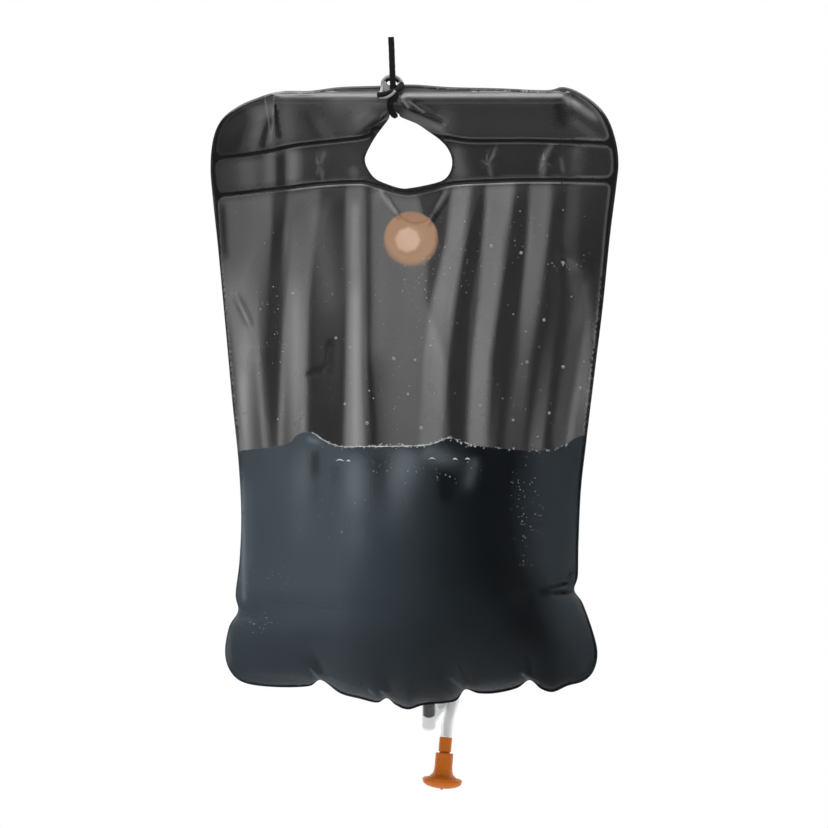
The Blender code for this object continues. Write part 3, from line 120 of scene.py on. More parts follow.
def run_along(points):
    """How far along a line each of its points lies."""
    return np.concatenate(([0], np.cumsum(np.linalg.norm(np.diff(points, axis=0), axis=1))))


def even_points(points, count):
    """Points at equal steps along the smooth line through a route, and the line's length."""
    dense = smooth_line(points, ROUTE_STEPS)
    run = run_along(dense)
    at = np.linspace(0, run[-1], count)
    return np.stack([np.interp(at, run, dense[:, k]) for k in range(3)], axis=1), run[-1]


def step(low, high, value):
    """Rises smoothly from 0 at low to 1 at high."""
    t = np.clip((value - low) / (high - low), 0, 1)
    return t * t * (3 - 2 * t)


print("a smooth line through 3 points has", len(smooth_line(np.eye(3), ROUTE_STEPS)), "points")

# %% [markdown]
# ## Tubes
# A hose or rope could be a curve with a bevel, but then it has one plain skin. Here each tube is
# a mesh: rings of points carried along the line without twist, an optional bore, and a relief
# function that raises or lowers the skin, which is how the rope gets its braid.

# %% Carry rings of points along a line
def frames_along(points):
    """At each point the line's direction and two directions square to it, free of twist."""
    along = np.gradient(points, axis=0)
    along /= np.linalg.norm(along, axis=1)[:, None]
    side = np.cross(along[0], (0.3, 0.9, 0.2))
    sides = []
    for direction in along:
        side = side - direction * (side @ direction)
        side = side / np.linalg.norm(side)
        sides.append(side)
    sides = np.array(sides)
    return along, sides, np.cross(along, sides)


def tube_skin(points, radius, segments, relief=None):
    """Rings of points round a line. The relief function takes run and angle and adds height."""
    _, side, up = frames_along(points)
    run = run_along(points)
    angle = np.arange(segments) * 2 * math.pi / segments
    reach = np.broadcast_to(np.reshape(radius, (-1, 1)), (len(points), segments)).copy()
    if relief is not None:
        reach = reach + relief(run[:, None], angle[None])
    cos, sin = np.cos(angle)[None, :, None], np.sin(angle)[None, :, None]
    return points[:, None] + reach[..., None] * (cos * side[:, None] + sin * up[:, None])


print("rings of a short tube:", tube_skin(np.eye(3), 0.1, 8).shape)

# %% Turn rings into a mesh
def strip_faces(rows, columns, first=0, flip=False):
    """Quads between neighbouring rings of a skin whose points start at a number."""
    faces = []
    for i in range(rows - 1):
        for j in range(columns):
            k = (j + 1) % columns
            face = (first + i * columns + j, first + i * columns + k,
                    first + (i + 1) * columns + k, first + (i + 1) * columns + j)
            faces.append(face[::-1] if flip else face)
    return faces


def add_mesh(name, verts, faces, finish, sharp=None):
    """A mesh object with its finish and its normals facing out."""
    mesh = bpy.data.meshes.new(name)
    mesh.from_pydata([tuple(v) for v in verts], [], [tuple(int(i) for i in f) for f in faces])
    bm = bmesh.new()
    bm.from_mesh(mesh)
    bmesh.ops.recalc_face_normals(bm, faces=bm.faces)
    bm.to_mesh(mesh)
    bm.free()
    obj = placed(name, mesh)
    mesh.shade_smooth()
    if sharp is not None:
        mesh.set_sharp_from_angle(angle=math.radians(sharp))
    mesh.materials.append(finish)
    return obj


print("faces between two rings of 8:", len(strip_faces(2, 8)))

# %% Make solid and bored tubes
def solid_tube(name, points, radius, segments, finish, relief=None, sharp=None):
    """A closed cord along points, with a cap at each end."""
    skin = tube_skin(points, radius, segments, relief)
    rows = len(points)
    verts = list(skin.reshape(-1, 3)) + [points[0], points[-1]]
    faces = strip_faces(rows, segments)
    last = (rows - 1) * segments
    for j in range(segments):
        k = (j + 1) % segments
        faces.append((rows * segments, k, j))
        faces.append((rows * segments + 1, last + j, last + k))
    return add_mesh(name, verts, faces, finish, sharp=sharp)


def bored_tube(name, points, radius, bore, segments, finish):
    """A hose: an outer and an inner skin joined by a flat ring at each end."""
    outer = tube_skin(points, radius, segments)
    inner = tube_skin(points, bore, segments)
    rows = len(points)
    total = rows * segments
    faces = strip_faces(rows, segments) + strip_faces(rows, segments, total, flip=True)
    last = (rows - 1) * segments
    for j in range(segments):
        k = (j + 1) % segments
        faces.append((j, k, total + k, total + j))
        faces.append((last + k, last + j, total + last + j, total + last + k))
    verts = np.concatenate((outer.reshape(-1, 3), inner.reshape(-1, 3)))
    return add_mesh(name, verts, faces, finish, sharp=50)


print("tubes: solid_tube, bored_tube")

# %% [markdown]
# ## Finishes
# Every finish is a Principled shader with a few nodes that vary it: fine noise for moulded
# plastic, long soft clouds for film. Numbers that are the same all over stay on the shader's own
# sockets. A helper sets up the shader, and each finish adds its own nodes.

# %% Set up a shader and its noise
def new_finish(name, colour, roughness, **sockets):
    """A material with one Principled shader. Returns the material, its nodes, links and shader."""
    made = bpy.data.materials.new(name)
    made.use_nodes = True
    nodes, links = made.node_tree.nodes, made.node_tree.links
    shader = nodes["Principled BSDF"]
    shader.inputs["Base Color"].default_value = (*colour, 1)
    shader.inputs["Roughness"].default_value = roughness
    for key, value in sockets.items():
        shader.inputs[key.replace("_", " ")].default_value = value
    return made, nodes, links, shader


def noise(nodes, links, scale, detail=3.0, stretch=(1, 1, 1)):
    """Noise in the object's own space, stretched along an axis where its scale there is small."""
    place = nodes.new("ShaderNodeTexCoord")
    mapping = nodes.new("ShaderNodeMapping")
    mapping.inputs["Scale"].default_value = stretch
    texture = nodes.new("ShaderNodeTexNoise")
    texture.inputs["Scale"].default_value = scale
    texture.inputs["Detail"].default_value = detail
    links.new(place.outputs["Object"], mapping.inputs["Vector"])
    links.new(mapping.outputs["Vector"], texture.inputs["Vector"])
    return texture.outputs["Fac"]


def spread(nodes, links, source, low, high, from_low=0.3, from_high=0.7):
    """A value brought to the range that a socket needs."""
    span = nodes.new("ShaderNodeMapRange")
    span.inputs["From Min"].default_value = from_low
    span.inputs["From Max"].default_value = from_high
    span.inputs["To Min"].default_value = low
    span.inputs["To Max"].default_value = high
    links.new(source, span.inputs["Value"])
    return span.outputs["Result"]


print("finish helpers: new_finish, noise, spread")

# %% Blend colours and add fine relief
def blend_colours(nodes, links, source, first, second):
    """A colour that goes from the first to the second as a value goes from 0 to 1."""
    mix = nodes.new("ShaderNodeMix")
    mix.data_type = "RGBA"
    for socket, colour in ((mix.inputs[6], first), (mix.inputs[7], second)):
        if isinstance(colour, bpy.types.NodeSocket):
            links.new(colour, socket)
        else:
            socket.default_value = (*colour, 1)
    links.new(source, mix.inputs[0])
    return mix.outputs[2]


def tint(nodes, links, shader, source, dark, pale, *reach):
    """Colours a finish from dark to pale as its noise rises through a reach."""
    colour = blend_colours(nodes, links, spread(nodes, links, source, 0, 1, *reach), dark, pale)
    links.new(colour, shader.inputs["Base Color"])


def bump(nodes, links, shader, source, distance):
    """Fine relief too small to model."""
    node = nodes.new("ShaderNodeBump")
    node.inputs["Distance"].default_value = distance
    node.inputs["Strength"].default_value = 1.0
    links.new(source, node.inputs["Height"])
    links.new(node.outputs["Normal"], shader.inputs["Normal"])


def moulded(name, colour, pale, roughness, grain=900.0, depth=0.00003, **sockets):
    """Moulded plastic: clouds of a paler shade and a fine grain."""
    made, nodes, links, shader = new_finish(name, colour, roughness, **sockets)
    tint(nodes, links, shader, noise(nodes, links, 60.0, 4.0), colour, pale)
    fine = noise(nodes, links, grain, 2.0)
    links.new(spread(nodes, links, fine, roughness - 0.05, roughness + 0.08),
              shader.inputs["Roughness"])
    bump(nodes, links, shader, fine, depth)
    return made


print("finish helpers: blend_colours, tint, bump, moulded")

# %% [markdown]
# ## The hose
# The clear hose leaves the elbow under the bag, climbs behind it, turns over at the keeper strap
# and comes down again to the spray head. It is a tube with a real bore, because two thin clear
# walls with air between them look quite unlike a solid rod.

# %% Lay the hose
HOSE_DIAMETER = 0.0115
HOSE_BORE = 0.0078
HOSE_ROUTE = (
    (0.0482, 0.0748, -0.6719), (0.0536, 0.0773, -0.664), (0.0592, 0.0812, -0.655),
    (0.0655, 0.0862, -0.643), (0.0736, 0.0905, -0.6259), (0.0813, 0.0908, -0.6088),
    (0.0885, 0.0888, -0.5914), (0.0952, 0.0858, -0.5736), (0.1022, 0.082, -0.552),
    (0.1072, 0.0785, -0.529), (0.1098, 0.0758, -0.506), (0.1085, 0.0744, -0.485),
    (0.101, 0.0733, -0.468), (0.088, 0.0746, -0.456), (0.072, 0.0771, -0.45),
    (0.056, 0.0797, -0.4495), (0.04, 0.082, -0.4545), (0.0255, 0.0835, -0.4655),
    (0.016, 0.086, -0.4815), (0.0125, 0.0885, -0.5), (0.015, 0.0905, -0.52),
    (0.0215, 0.0922, -0.542), (0.0315, 0.0932, -0.565), (0.043, 0.093, -0.586),
    (0.053, 0.0905, -0.606), (0.06, 0.085, -0.625), (0.0632, 0.078, -0.643),
    (0.063, 0.073, -0.659), (0.06, 0.0705, -0.673), (0.0563, 0.07, -0.6862),
    (0.0557, 0.07, -0.6932), (0.0551, 0.07, -0.7002))


def clear_vinyl(name, colour, pale, roughness, clear):
    """Clear soft plastic, faintly clouded; its clear share bends light like glass."""
    made, nodes, links, shader = new_finish(name, colour, roughness, Transmission_Weight=clear,
                                            IOR=1.4)
    tint(nodes, links, shader, noise(nodes, links, 90.0, 2.0, (1, 1, 0.2)), colour, pale)
    bump(nodes, links, shader, noise(nodes, links, 300.0, 1.0, (1, 1, 0.2)), 0.00002)
    return made


hose_vinyl = clear_vinyl("hose_vinyl", (0.72, 0.73, 0.73), (0.82, 0.83, 0.83), 0.3, 0.85)
hose_points, hose_length = even_points(HOSE_ROUTE, 200)
hose = bored_tube("clear_hose", hose_points, HOSE_DIAMETER / 2, HOSE_BORE / 2, 28, hose_vinyl)
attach(hose, "bag")
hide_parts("hose")
print("hose", round(hose_length, 3), "m")

# %% [markdown]
# ## The rope
# The bag hangs on a thin braided rope. Its braid is a pattern of two sets of strands, one turning
# left and one turning right, each passing over and under the other. As relief on a fine tube that
# is one formula: the higher of two helical waves at each point.

# %% Write down the rope's way
ROPE_DIAMETER = 0.006
LASHING_DIAMETER = 0.005
BIGHT_DIAMETER = 0.003
ROPE_ROUTE = ((0, 0, 0), (0.0006, 0, -0.012), (0.001, 0, -0.024), (0.0014, 0, -0.036),
              (0.0018, 0, -0.046), (0.002, -0.0001, -0.0528))
LASHING_ROUTE = (
    (0.002, -0.0003, -0.0536), (0.0014, -0.0016, -0.059), (-0.001, -0.0026, -0.065),
    (-0.0008, -0.0016, -0.071), (0.0016, 0.002, -0.0765), (0.0032, 0.0055, -0.0782),
    (0.004, 0.009, -0.0784), (0.0036, 0.013, -0.078), (0.002, 0.017, -0.0755),
    (0.0006, 0.0196, -0.07), (0.001, 0.0203, -0.064), (0.003, 0.0198, -0.058),
    (0.0062, 0.0172, -0.0525), (0.0092, 0.013, -0.0482), (0.0104, 0.009, -0.047),
    (0.0104, 0.004, -0.0482), (0.0084, -0.002, -0.0512), (0.0052, -0.0062, -0.0534),
    (0.001, -0.0077, -0.0548), (-0.005, -0.0079, -0.0567), (-0.01, -0.0074, -0.0577),
    (-0.0135, -0.0066, -0.058))
TURN_ROUTE = (
    (0.004, -0.0046, -0.0528), (0.0054, -0.0064, -0.056), (0.005, -0.0072, -0.0595),
    (0.003, -0.0072, -0.0625), (0.0004, -0.0066, -0.0648), (-0.002, -0.0054, -0.066))
BIGHT_ROUTE = (
    (-0.0054, 0.0056, -0.0449), (-0.0034, 0.0056, -0.043), (0.0006, 0.0057, -0.0419),
    (0.0048, 0.0057, -0.0427), (0.0078, 0.0056, -0.0452))


print("lashing route:", len(LASHING_ROUTE), "points")

# %% Braid the rope
def braid(diameter, strands=8):
    """Relief of a braid: two helical waves that cross, each over the other in turn."""
    pitch = diameter * 1.25
    depth = diameter * 0.07

    def relief(run, angle):
        turn = 2 * math.pi * run / pitch
        left = np.cos((strands / 2) * angle + turn)
        right = np.cos((strands / 2) * angle - turn)
        over = np.cos(2 * turn) > 0
        first = np.where(over, left, right)
        wave = np.maximum(np.abs(left), np.abs(right) * 0.9) + 0.25 * first
        return depth * (wave - 0.8)

    return relief


def rope_finish():
    """Black polyester rope: dull, with threads that catch a little light."""
    made, nodes, links, shader = new_finish("black_rope", (0.008, 0.008, 0.008), 0.8,
                                            Specular_IOR_Level=0.15)
    threads = noise(nodes, links, 2600.0, 4.0, (1, 1, 0.35))
    tint(nodes, links, shader, threads, (0.001, 0.001, 0.001), (0.008, 0.008, 0.009))
    bump(nodes, links, shader, threads, 0.0002)
    return made


black_rope = rope_finish()


print("finish:", black_rope.name)

# %% Lay the rope
def lay_rope(name, route, diameter, rings, node, swell=0.0):
    """A braided rope along a route. Where it is pulled tight it can swell a little."""
    points, length = even_points(route, rings)
    radius = diameter / 2 + swell * (points[:, 2] < -0.06) * (points[:, 1] < 0.009)
    rope = solid_tube(name, points, radius, 40, black_rope, braid(diameter))
    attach(rope, "bag")
    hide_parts(node)
    print(name, round(length, 4), "m")
    return rope, points


hanging_rope, rope_points = lay_rope("braided_rope", ROPE_ROUTE, ROPE_DIAMETER, 170,
                                     "hanging_rope")
lay_rope("braided_lashing", LASHING_ROUTE, LASHING_DIAMETER, 340, "bar_lashing", 0.0005)
lay_rope("lashing_turn", TURN_ROUTE, LASHING_DIAMETER, 90, "bar_lashing")
lay_rope("hook_bight_cord", BIGHT_ROUTE, BIGHT_DIAMETER, 60, "hook_bight")

# %% [markdown]
# ## The bag's plan
# Both films are cut to one plan: an outline with puckered lobes at the bottom, a hand hole, and
# two welds across. The plan is meshed flat and then each film is raised from it. A grid would leave
# stairs along the curved edges, so the edges and welds go into a constrained triangulation, with
# a lattice of points between them that is finer where the folds are small.

# %% Draw the plan
BAG_WIDTH = 0.408
BAG_HEIGHT = 0.625
BAG_CENTRE_X = 0.0235
BAG_TOP_Z = -0.0475
FILM = 0.0006
GAP = 0.0003
WELD_WIDTH = 0.0065
FLAT_SHARE = 0.9
HAND_HOLE = (0.0175, -0.1128)
HAND_HOLE_SIZE = (0.087, 0.0765)
HOLE_WELD = 0.005

OUTLINE_SHARES = (
    (-0.012, 0.0), (0.174, 0.004), (0.419, 0.006), (0.645, 0.009), (0.728, 0.004), (0.811, 0.013),
    (0.9, 0.034), (0.953, 0.058), (0.988, 0.092), (1.0, 0.126), (0.99, 0.161), (0.958, 0.244),
    (0.924, 0.353), (0.885, 0.457), (0.843, 0.57), (0.816, 0.649), (0.804, 0.737), (0.801, 0.786),
    (0.784, 0.809), (0.826, 0.831), (0.88, 0.881), (0.897, 0.913), (0.875, 0.94), (0.826, 0.955),
    (0.752, 0.962), (0.679, 0.972), (0.62, 0.967), (0.564, 0.953), (0.502, 0.966), (0.395, 0.974),
    (0.311, 0.974), (0.248, 0.968), (0.208, 0.985), (0.15, 0.99), (0.047, 0.993), (-0.032, 1.0),
    (-0.091, 0.993), (-0.135, 0.982), (-0.184, 0.989), (-0.267, 0.983), (-0.365, 0.974),
    (-0.458, 0.953), (-0.522, 0.963), (-0.694, 0.964), (-0.836, 0.957), (-0.904, 0.938),
    (-0.929, 0.908), (-0.909, 0.868), (-0.865, 0.842), (-0.877, 0.815), (-0.858, 0.761),
    (-0.85, 0.689), (-0.863, 0.604), (-0.895, 0.502), (-0.929, 0.38), (-0.963, 0.262),
    (-0.988, 0.185), (-1.0, 0.134), (-0.988, 0.089), (-0.949, 0.058), (-0.875, 0.037),
    (-0.777, 0.022), (-0.659, 0.011), (-0.512, 0.01), (-0.365, 0.004), (-0.179, 0.002))
HOLE_SHARES = (
    (-0.471, -0.78), (-0.425, -0.924), (-0.322, -0.992), (-0.218, -0.924), (-0.161, -0.846),
    (0.195, -0.675), (0.471, -0.466), (0.724, -0.257), (0.908, -0.021), (1.0, 0.267),
    (0.966, 0.555), (0.816, 0.777), (0.517, 0.895), (0.034, 1.0), (-0.195, 1.0),
    (-0.494, 0.895), (-0.747, 0.764), (-0.908, 0.555), (-1.0, 0.293), (-0.954, 0.058),
    (-0.747, -0.361))
LOWER_WELD_SHARES = (
    (-1.03, 0.178), (-0.953, 0.177), (-0.674, 0.167), (-0.458, 0.159), (-0.272, 0.156),
    (-0.203, 0.16), (-0.115, 0.169), (-0.027, 0.174), (0.071, 0.168), (0.174, 0.159),
    (0.287, 0.156), (0.576, 0.153), (0.978, 0.154), (1.03, 0.154))
UPPER_WELD_SHARES = (
    (-1.03, 0.12), (-0.949, 0.117), (-0.777, 0.11), (-0.679, 0.104), (-0.576, 0.097),
    (-0.346, 0.0885), (-0.265, 0.0855), (-0.213, 0.08), (-0.17, 0.07),
    (0.145, 0.084), (0.287, 0.09), (0.576, 0.09), (0.963, 0.094), (1.03, 0.094))


def from_shares(shares):
    """Points of the plan from shares of the bag's size."""
    table = np.array(shares)
    return np.stack([BAG_CENTRE_X + table[:, 0] * BAG_WIDTH / 2,
                     BAG_TOP_Z - table[:, 1] * BAG_HEIGHT], axis=1)


def height_on(line, x):
    """How high a line across the plan runs at each x."""
    return np.interp(x, line[:, 0], line[:, 1])


hole_table = np.array(HOLE_SHARES)
hole_places = np.stack([HAND_HOLE[0] + hole_table[:, 0] * HAND_HOLE_SIZE[0] / 2,
                        HAND_HOLE[1] - hole_table[:, 1] * HAND_HOLE_SIZE[1] / 2], axis=1)
OUTLINE = smooth_line(from_shares(OUTLINE_SHARES), 12, closed=True)
HOLE = smooth_line(hole_places, 8, closed=True)
LOWER_WELD = smooth_line(from_shares(LOWER_WELD_SHARES), 8)
UPPER_WELD = smooth_line(from_shares(UPPER_WELD_SHARES), 8)
print("outline points", len(OUTLINE))

# %% Measure distances on the plan
DENSE = 0.0005


def densified(line, closed):
    """A polyline's points, close together, for measuring distances to it."""
    ends = np.roll(line, -1, axis=0)
    if not closed:
        line, ends = line[:-1], ends[:-1]
    made = []
    for a, b in zip(line, ends):
        count = max(1, int(np.linalg.norm(b - a) / DENSE))
        made.extend(a + (b - a) * k / count for k in range(count))
    return np.array(made)


def nearest(points, others):
    """Distance of each point of the plan to the nearest of the others."""
    tree = kdtree.KDTree(len(others))
    for i, (x, z) in enumerate(others):
        tree.insert((x, 0, z), i)
    tree.balance()
    return np.array([tree.find((x, 0, z))[2] for x, z in points])


def distance_to(points, line, closed=True):
    """Distance of each point of the plan to a polyline."""
    return nearest(points, densified(line, closed))


def inside(points, line):
    """Which points lie inside a closed polyline."""
    result = np.zeros(len(points), dtype=bool)
    for (x0, z0), (x1, z1) in zip(line, np.roll(line, -1, axis=0)):
        if z0 == z1:
            continue
        crosses = (z0 > points[:, 1]) != (z1 > points[:, 1])
        at = (x1 - x0) * (points[:, 1] - z0) / (z1 - z0) + x0
        result ^= crosses & (points[:, 0] < at)
    return result


def moved_in(line, width):
    """A closed line moved inwards, without the points that would fold over at its notches."""
    along = np.roll(line, -1, axis=0) - np.roll(line, 1, axis=0)
    along /= np.linalg.norm(along, axis=1)[:, None]
    inward = np.stack([along[:, 1], -along[:, 0]], axis=1)
    moved = line + inward * width
    if not inside(moved[:1], line)[0]:
        moved = line - inward * width
    return moved[distance_to(moved, line) > width * 0.93]


def hump(value, centre, half):
    """A bell curve: 1 at the centre and almost nothing two half widths away."""
    return np.exp(-((value - centre) / half) ** 2)


def circle(x, z, radius, count, squash=1.0):
    """A circle on the plan, or an ellipse where it is squashed."""
    angles = np.arange(count) * 2 * math.pi / count
    return np.stack([x + radius * np.cos(angles), z + radius * squash * np.sin(angles)], axis=1)


print("hand hole to the edge", round(float(distance_to(HOLE, OUTLINE).min()), 4), "m")

# %% [markdown]
# ## How far each film stands out
# The water chamber is a lens, fuller with depth and rounded in at the bottom. Above the upper weld
# the film wraps the handle bar and hangs down from it. The same formulas shaped the CAD solids, so
# the fine meshes lie where those were. Only the front film's weld is drawn narrower, as it looks.

# %% Write down the bag's shape
FULL_BULGE = 0.076
FULL_DEPTH = 0.4
BOTTOM_ROUND = 0.07
SIDE_ROUNDNESS = 0.8
DEPTH_ROUNDNESS = 1.35
POCKET_PUFF = 0.0015
BAND_PUFF = 0.0004
PUFF_RAMP = 0.015
BAR_DIAMETER = 0.014
BAR_LENGTH = 0.283
BAR_X = 0.0275
BAR_Z = -0.0627
SLEEVE_RADIUS = BAR_DIAMETER / 2 + 0.0009
SLEEVE_END = 0.0015
SLEEVE_TAPER = 0.012
DRAPE_SHARE = 0.86
VALVE = (0.02, -0.2015)
VALVE_BULGE = 0.012
FLANGE_DIAMETER = 0.054
SEAT_MARGIN = 0.002
SEAT_BLEND = 0.014
OUTLET = (0.038, -0.647)
OUTLET_BULGE = 0.038
OUTLET_TILT = math.radians(60)
OUTLET_FLANGE = 0.026

# how wide the dark weld looks down the left side and down the right side: height, width
SEEN_LEFT = ((-0.65, 0.0022), (-0.62, 0.0018), (-0.585, 0.0012), (-0.47, 0.0012),
             (-0.43, 0.004), (-0.4, 0.003), (-0.32, 0.0018), (-0.23, 0.0014),
             (-0.18, 0.0036), (-0.15, 0.0054), (-0.11, 0.0046), (-0.058, 0.0026))
SEEN_RIGHT = ((-0.65, 0.0026), (-0.62, 0.003), (-0.575, 0.0018), (-0.54, 0.0024),
              (-0.29, 0.0034), (-0.22, 0.0038), (-0.175, 0.0048), (-0.15, 0.005),
              (-0.085, 0.0044), (-0.058, 0.0026))
NOTCHES = ((-0.1523, -0.575), (-0.07, -0.6436), (-0.0035, -0.661), (0.0737, -0.653),
           (0.1385, -0.643), (0.183, -0.554))
NOTCH_REACH = 0.01

print("fullest bulge", FULL_BULGE, "m each way")

# %% Shape the water chamber
foot_line = OUTLINE[OUTLINE[:, 1] < BAG_TOP_Z - 0.945 * BAG_HEIGHT]
foot_line = foot_line[np.argsort(foot_line[:, 0])]


def side_x(z, sign):
    """Where the side edge of the bag is at each height."""
    edge = OUTLINE[(OUTLINE[:, 0] - BAG_CENTRE_X) * sign > BAG_WIDTH / 4]
    down = (BAG_TOP_Z - edge[:, 1]) / BAG_HEIGHT
    edge = edge[(down > 0.1) & (down < 0.93)]
    edge = edge[np.argsort(edge[:, 1])]
    return np.interp(z, edge[:, 1], edge[:, 0])


def seen_weld(plan):
    """How much of the weld shows from the front; the full film rolls over the rest."""
    left, right = (np.interp(plan[:, 1], *zip(*table)) for table in (SEEN_LEFT, SEEN_RIGHT))
    width = left + (right - left) * step(-0.05, 0.1, plan[:, 0])
    for notch in NOTCHES:
        reach = np.hypot(*(plan - notch).T)
        width = width * (1 - 0.7 * hump(reach, 0, NOTCH_REACH))
    return width


def chamber_bulge(plan, weld=WELD_WIDTH):
    """The water chamber: a lens across, fuller with depth, rounded in at the bottom."""
    x, z = plan[:, 0], plan[:, 1]
    left = side_x(z, -1) + weld
    right = side_x(z, 1) - weld
    across = np.clip((2 * x - left - right) / (right - left), -1, 1)
    lens = (1 - across ** 2) ** SIDE_ROUNDNESS
    depth = height_on(LOWER_WELD, x) - z
    fill = 1 - (1 - np.clip(depth / FULL_DEPTH, 0, 1)) ** DEPTH_ROUNDNESS
    foot = distance_to(plan, foot_line, closed=False)
    rise = np.clip((foot - weld) / BOTTOM_ROUND, 0, 1)
    rounded = np.sqrt(1 - (1 - rise) ** 2)
    return FULL_BULGE * lens * fill * rounded * (depth > 0)


print("foot line:", len(foot_line), "points")

# %% Shape the top and the fittings' seats
def top_bulge(plan, edge, hole):
    """The sleeve round the bar, its drape down to the upper weld, and the flat band below."""
    x, z = plan[:, 0], plan[:, 1]
    beyond = np.abs(x - BAR_X) - BAR_LENGTH / 2 - SLEEVE_END
    held = 1 - step(0, SLEEVE_TAPER, beyond)
    upper = height_on(UPPER_WELD, x)
    lower = height_on(LOWER_WELD, x)
    edge = np.clip((edge - WELD_WIDTH) / PUFF_RAMP, 0, 1)
    hole = np.clip((hole - HOLE_WELD) / PUFF_RAMP, 0, 1)
    down = BAR_Z - z
    round_part = np.sqrt(np.clip(SLEEVE_RADIUS ** 2 - down ** 2, 0, None)) * held
    run = np.clip((z - upper) / np.maximum(BAR_Z - SLEEVE_RADIUS / 2 - upper, WELD_WIDTH), 0, 1)
    drape = SLEEVE_RADIUS * DRAPE_SHARE * run * held * hole * (down > 0)
    puff = POCKET_PUFF * edge * hole * np.clip((z - upper) / PUFF_RAMP, 0, 1)
    between = np.clip((z - lower) / np.maximum(upper - lower, WELD_WIDTH), 0, 1)
    band = BAND_PUFF * np.sin(np.pi * between) * edge * hole
    return np.maximum.reduce([round_part, drape, puff, band])


def seat_share(reach, seat):
    """1 on a fitting's seat, falling to 0 round it."""
    return np.clip(1 - (reach - seat) / SEAT_BLEND, 0, 1)


def outlet_reach(plan):
    """Distance to the outlet along the film, which is steep there."""
    offset = plan - OUTLET
    return np.hypot(offset[:, 0], offset[:, 1] / math.cos(OUTLET_TILT))


def bulge(plan, edge, hole, back):
    """Half the space between the films, with the flat seats of the two fittings on the back."""
    lower = height_on(LOWER_WELD, plan[:, 0])
    weld = WELD_WIDTH if back else seen_weld(plan)
    top = top_bulge(plan, edge, hole)
    height = np.where(plan[:, 1] < lower, chamber_bulge(plan, weld), top)
    height[edge < weld * FLAT_SHARE] *= 0
    height = np.where(plan[:, 1] > BAR_Z - BAR_DIAMETER, top, height)
    if back:
        keep = seat_share(np.hypot(*(plan - VALVE).T), FLANGE_DIAMETER / 2 + SEAT_MARGIN)
        height = height * (1 - keep) + VALVE_BULGE * keep
        keep = seat_share(outlet_reach(plan), OUTLET_FLANGE / 2 + SEAT_MARGIN / 2)
        slope = OUTLET_BULGE + (plan[:, 1] - OUTLET[1]) * math.tan(OUTLET_TILT)
        height = height * (1 - keep) + slope * keep
    return height + GAP / 2


print("film shapes: chamber_bulge, top_bulge, bulge")

# %% [markdown]
# ## Folds
# Above the water the film hangs in long folds. Each is written as a foot and a crest with a
# straight flank between them, because a flank that leans one way reads as one light or dark band.
# The same table shaped the CAD films. Simulated cloth would fold too, but not in the places that
# the photograph shows.

# %% Write down the long folds of the dry film
LONG_FOLD = 0.005
LONG_FOLD_FULL = 0.006
LONG_FOLD_FOOT = 0.045
BACK_FOLD_FOOT = 0.02
BACK_FOLD_SHARE = 0.8
BACK_FOLD_CLEAR = 0.01
BACK_FOLD_RAMP = 0.03
FOLD_ROUND = 0.004
FOLD_LEVEL_SHARES = (0.19, 0.249, 0.345, 0.441, 0.561, 0.64)
# the foot or crest of each fold at those levels, and how far the film stands out there
FOLD_SHARES = (
    ((-0.703, -0.718, -0.748, -0.757, -0.748, -0.745), 0.5),
    ((-0.62, -0.625, -0.645, -0.654, -0.654, -0.65), -0.5),
    ((-0.424, -0.473, -0.502, -0.522, -0.542, -0.55), 0.5),
    ((-0.321, -0.326, -0.341, -0.346, -0.346, -0.346), -0.5),
    ((-0.248, -0.248, -0.238, -0.243, -0.228, -0.225), 0.5),
    ((-0.145, -0.189, -0.189, -0.189, -0.169, -0.16), -0.1),
    ((0.184, 0.154, 0.086, 0.066, 0.027, 0.005), -0.5),
    ((0.301, 0.252, 0.184, 0.164, 0.135, 0.115), 0.5),
    ((0.355, 0.331, 0.277, 0.252, 0.233, 0.215), -0.5),
    ((0.478, 0.468, 0.424, 0.375, 0.346, 0.33), 0.5),
    ((0.566, 0.556, 0.507, 0.458, 0.419, 0.395), -0.5),
    ((0.684, 0.654, 0.645, 0.6, 0.547, 0.52), 0.5),
    ((0.752, 0.733, 0.735, 0.694, 0.645, 0.62), -0.5),
    ((0.841, 0.811, 0.815, 0.785, 0.745, 0.72), 0.4))


print("long folds:", len(FOLD_SHARES))

# %% Shape the long folds
def fold_lines(z):
    """Where the left weld, every foot and crest and the right weld are at each height."""
    levels = BAG_TOP_Z - np.array(FOLD_LEVEL_SHARES) * BAG_HEIGHT
    lines = [side_x(z, -1) + WELD_WIDTH]
    for row, _ in FOLD_SHARES:
        places = BAG_CENTRE_X + np.array(row) * BAG_WIDTH / 2
        line = smooth_line(np.stack([places, levels], axis=1), 6)
        lines.append(np.interp(-z, -line[:, 1], line[:, 0]))
    lines.append(side_x(z, 1) - WELD_WIDTH)
    return lines


def fold_shape(plan):
    """The folds as shares of their height: straight flanks, rounded at each foot and crest."""
    lines = fold_lines(plan[:, 1])
    stand = [0, *(share for _, share in FOLD_SHARES), 0]
    shape = np.zeros(len(plan))
    shifts = np.linspace(-FOLD_ROUND, FOLD_ROUND, 9)
    for shift in shifts:
        x = plan[:, 0] + shift
        for left, right, low, high in zip(lines, lines[1:], stand, stand[1:]):
            shape += (high - low) * np.clip((x - left) / (right - left), 0, 1)
    return shape / len(shifts)


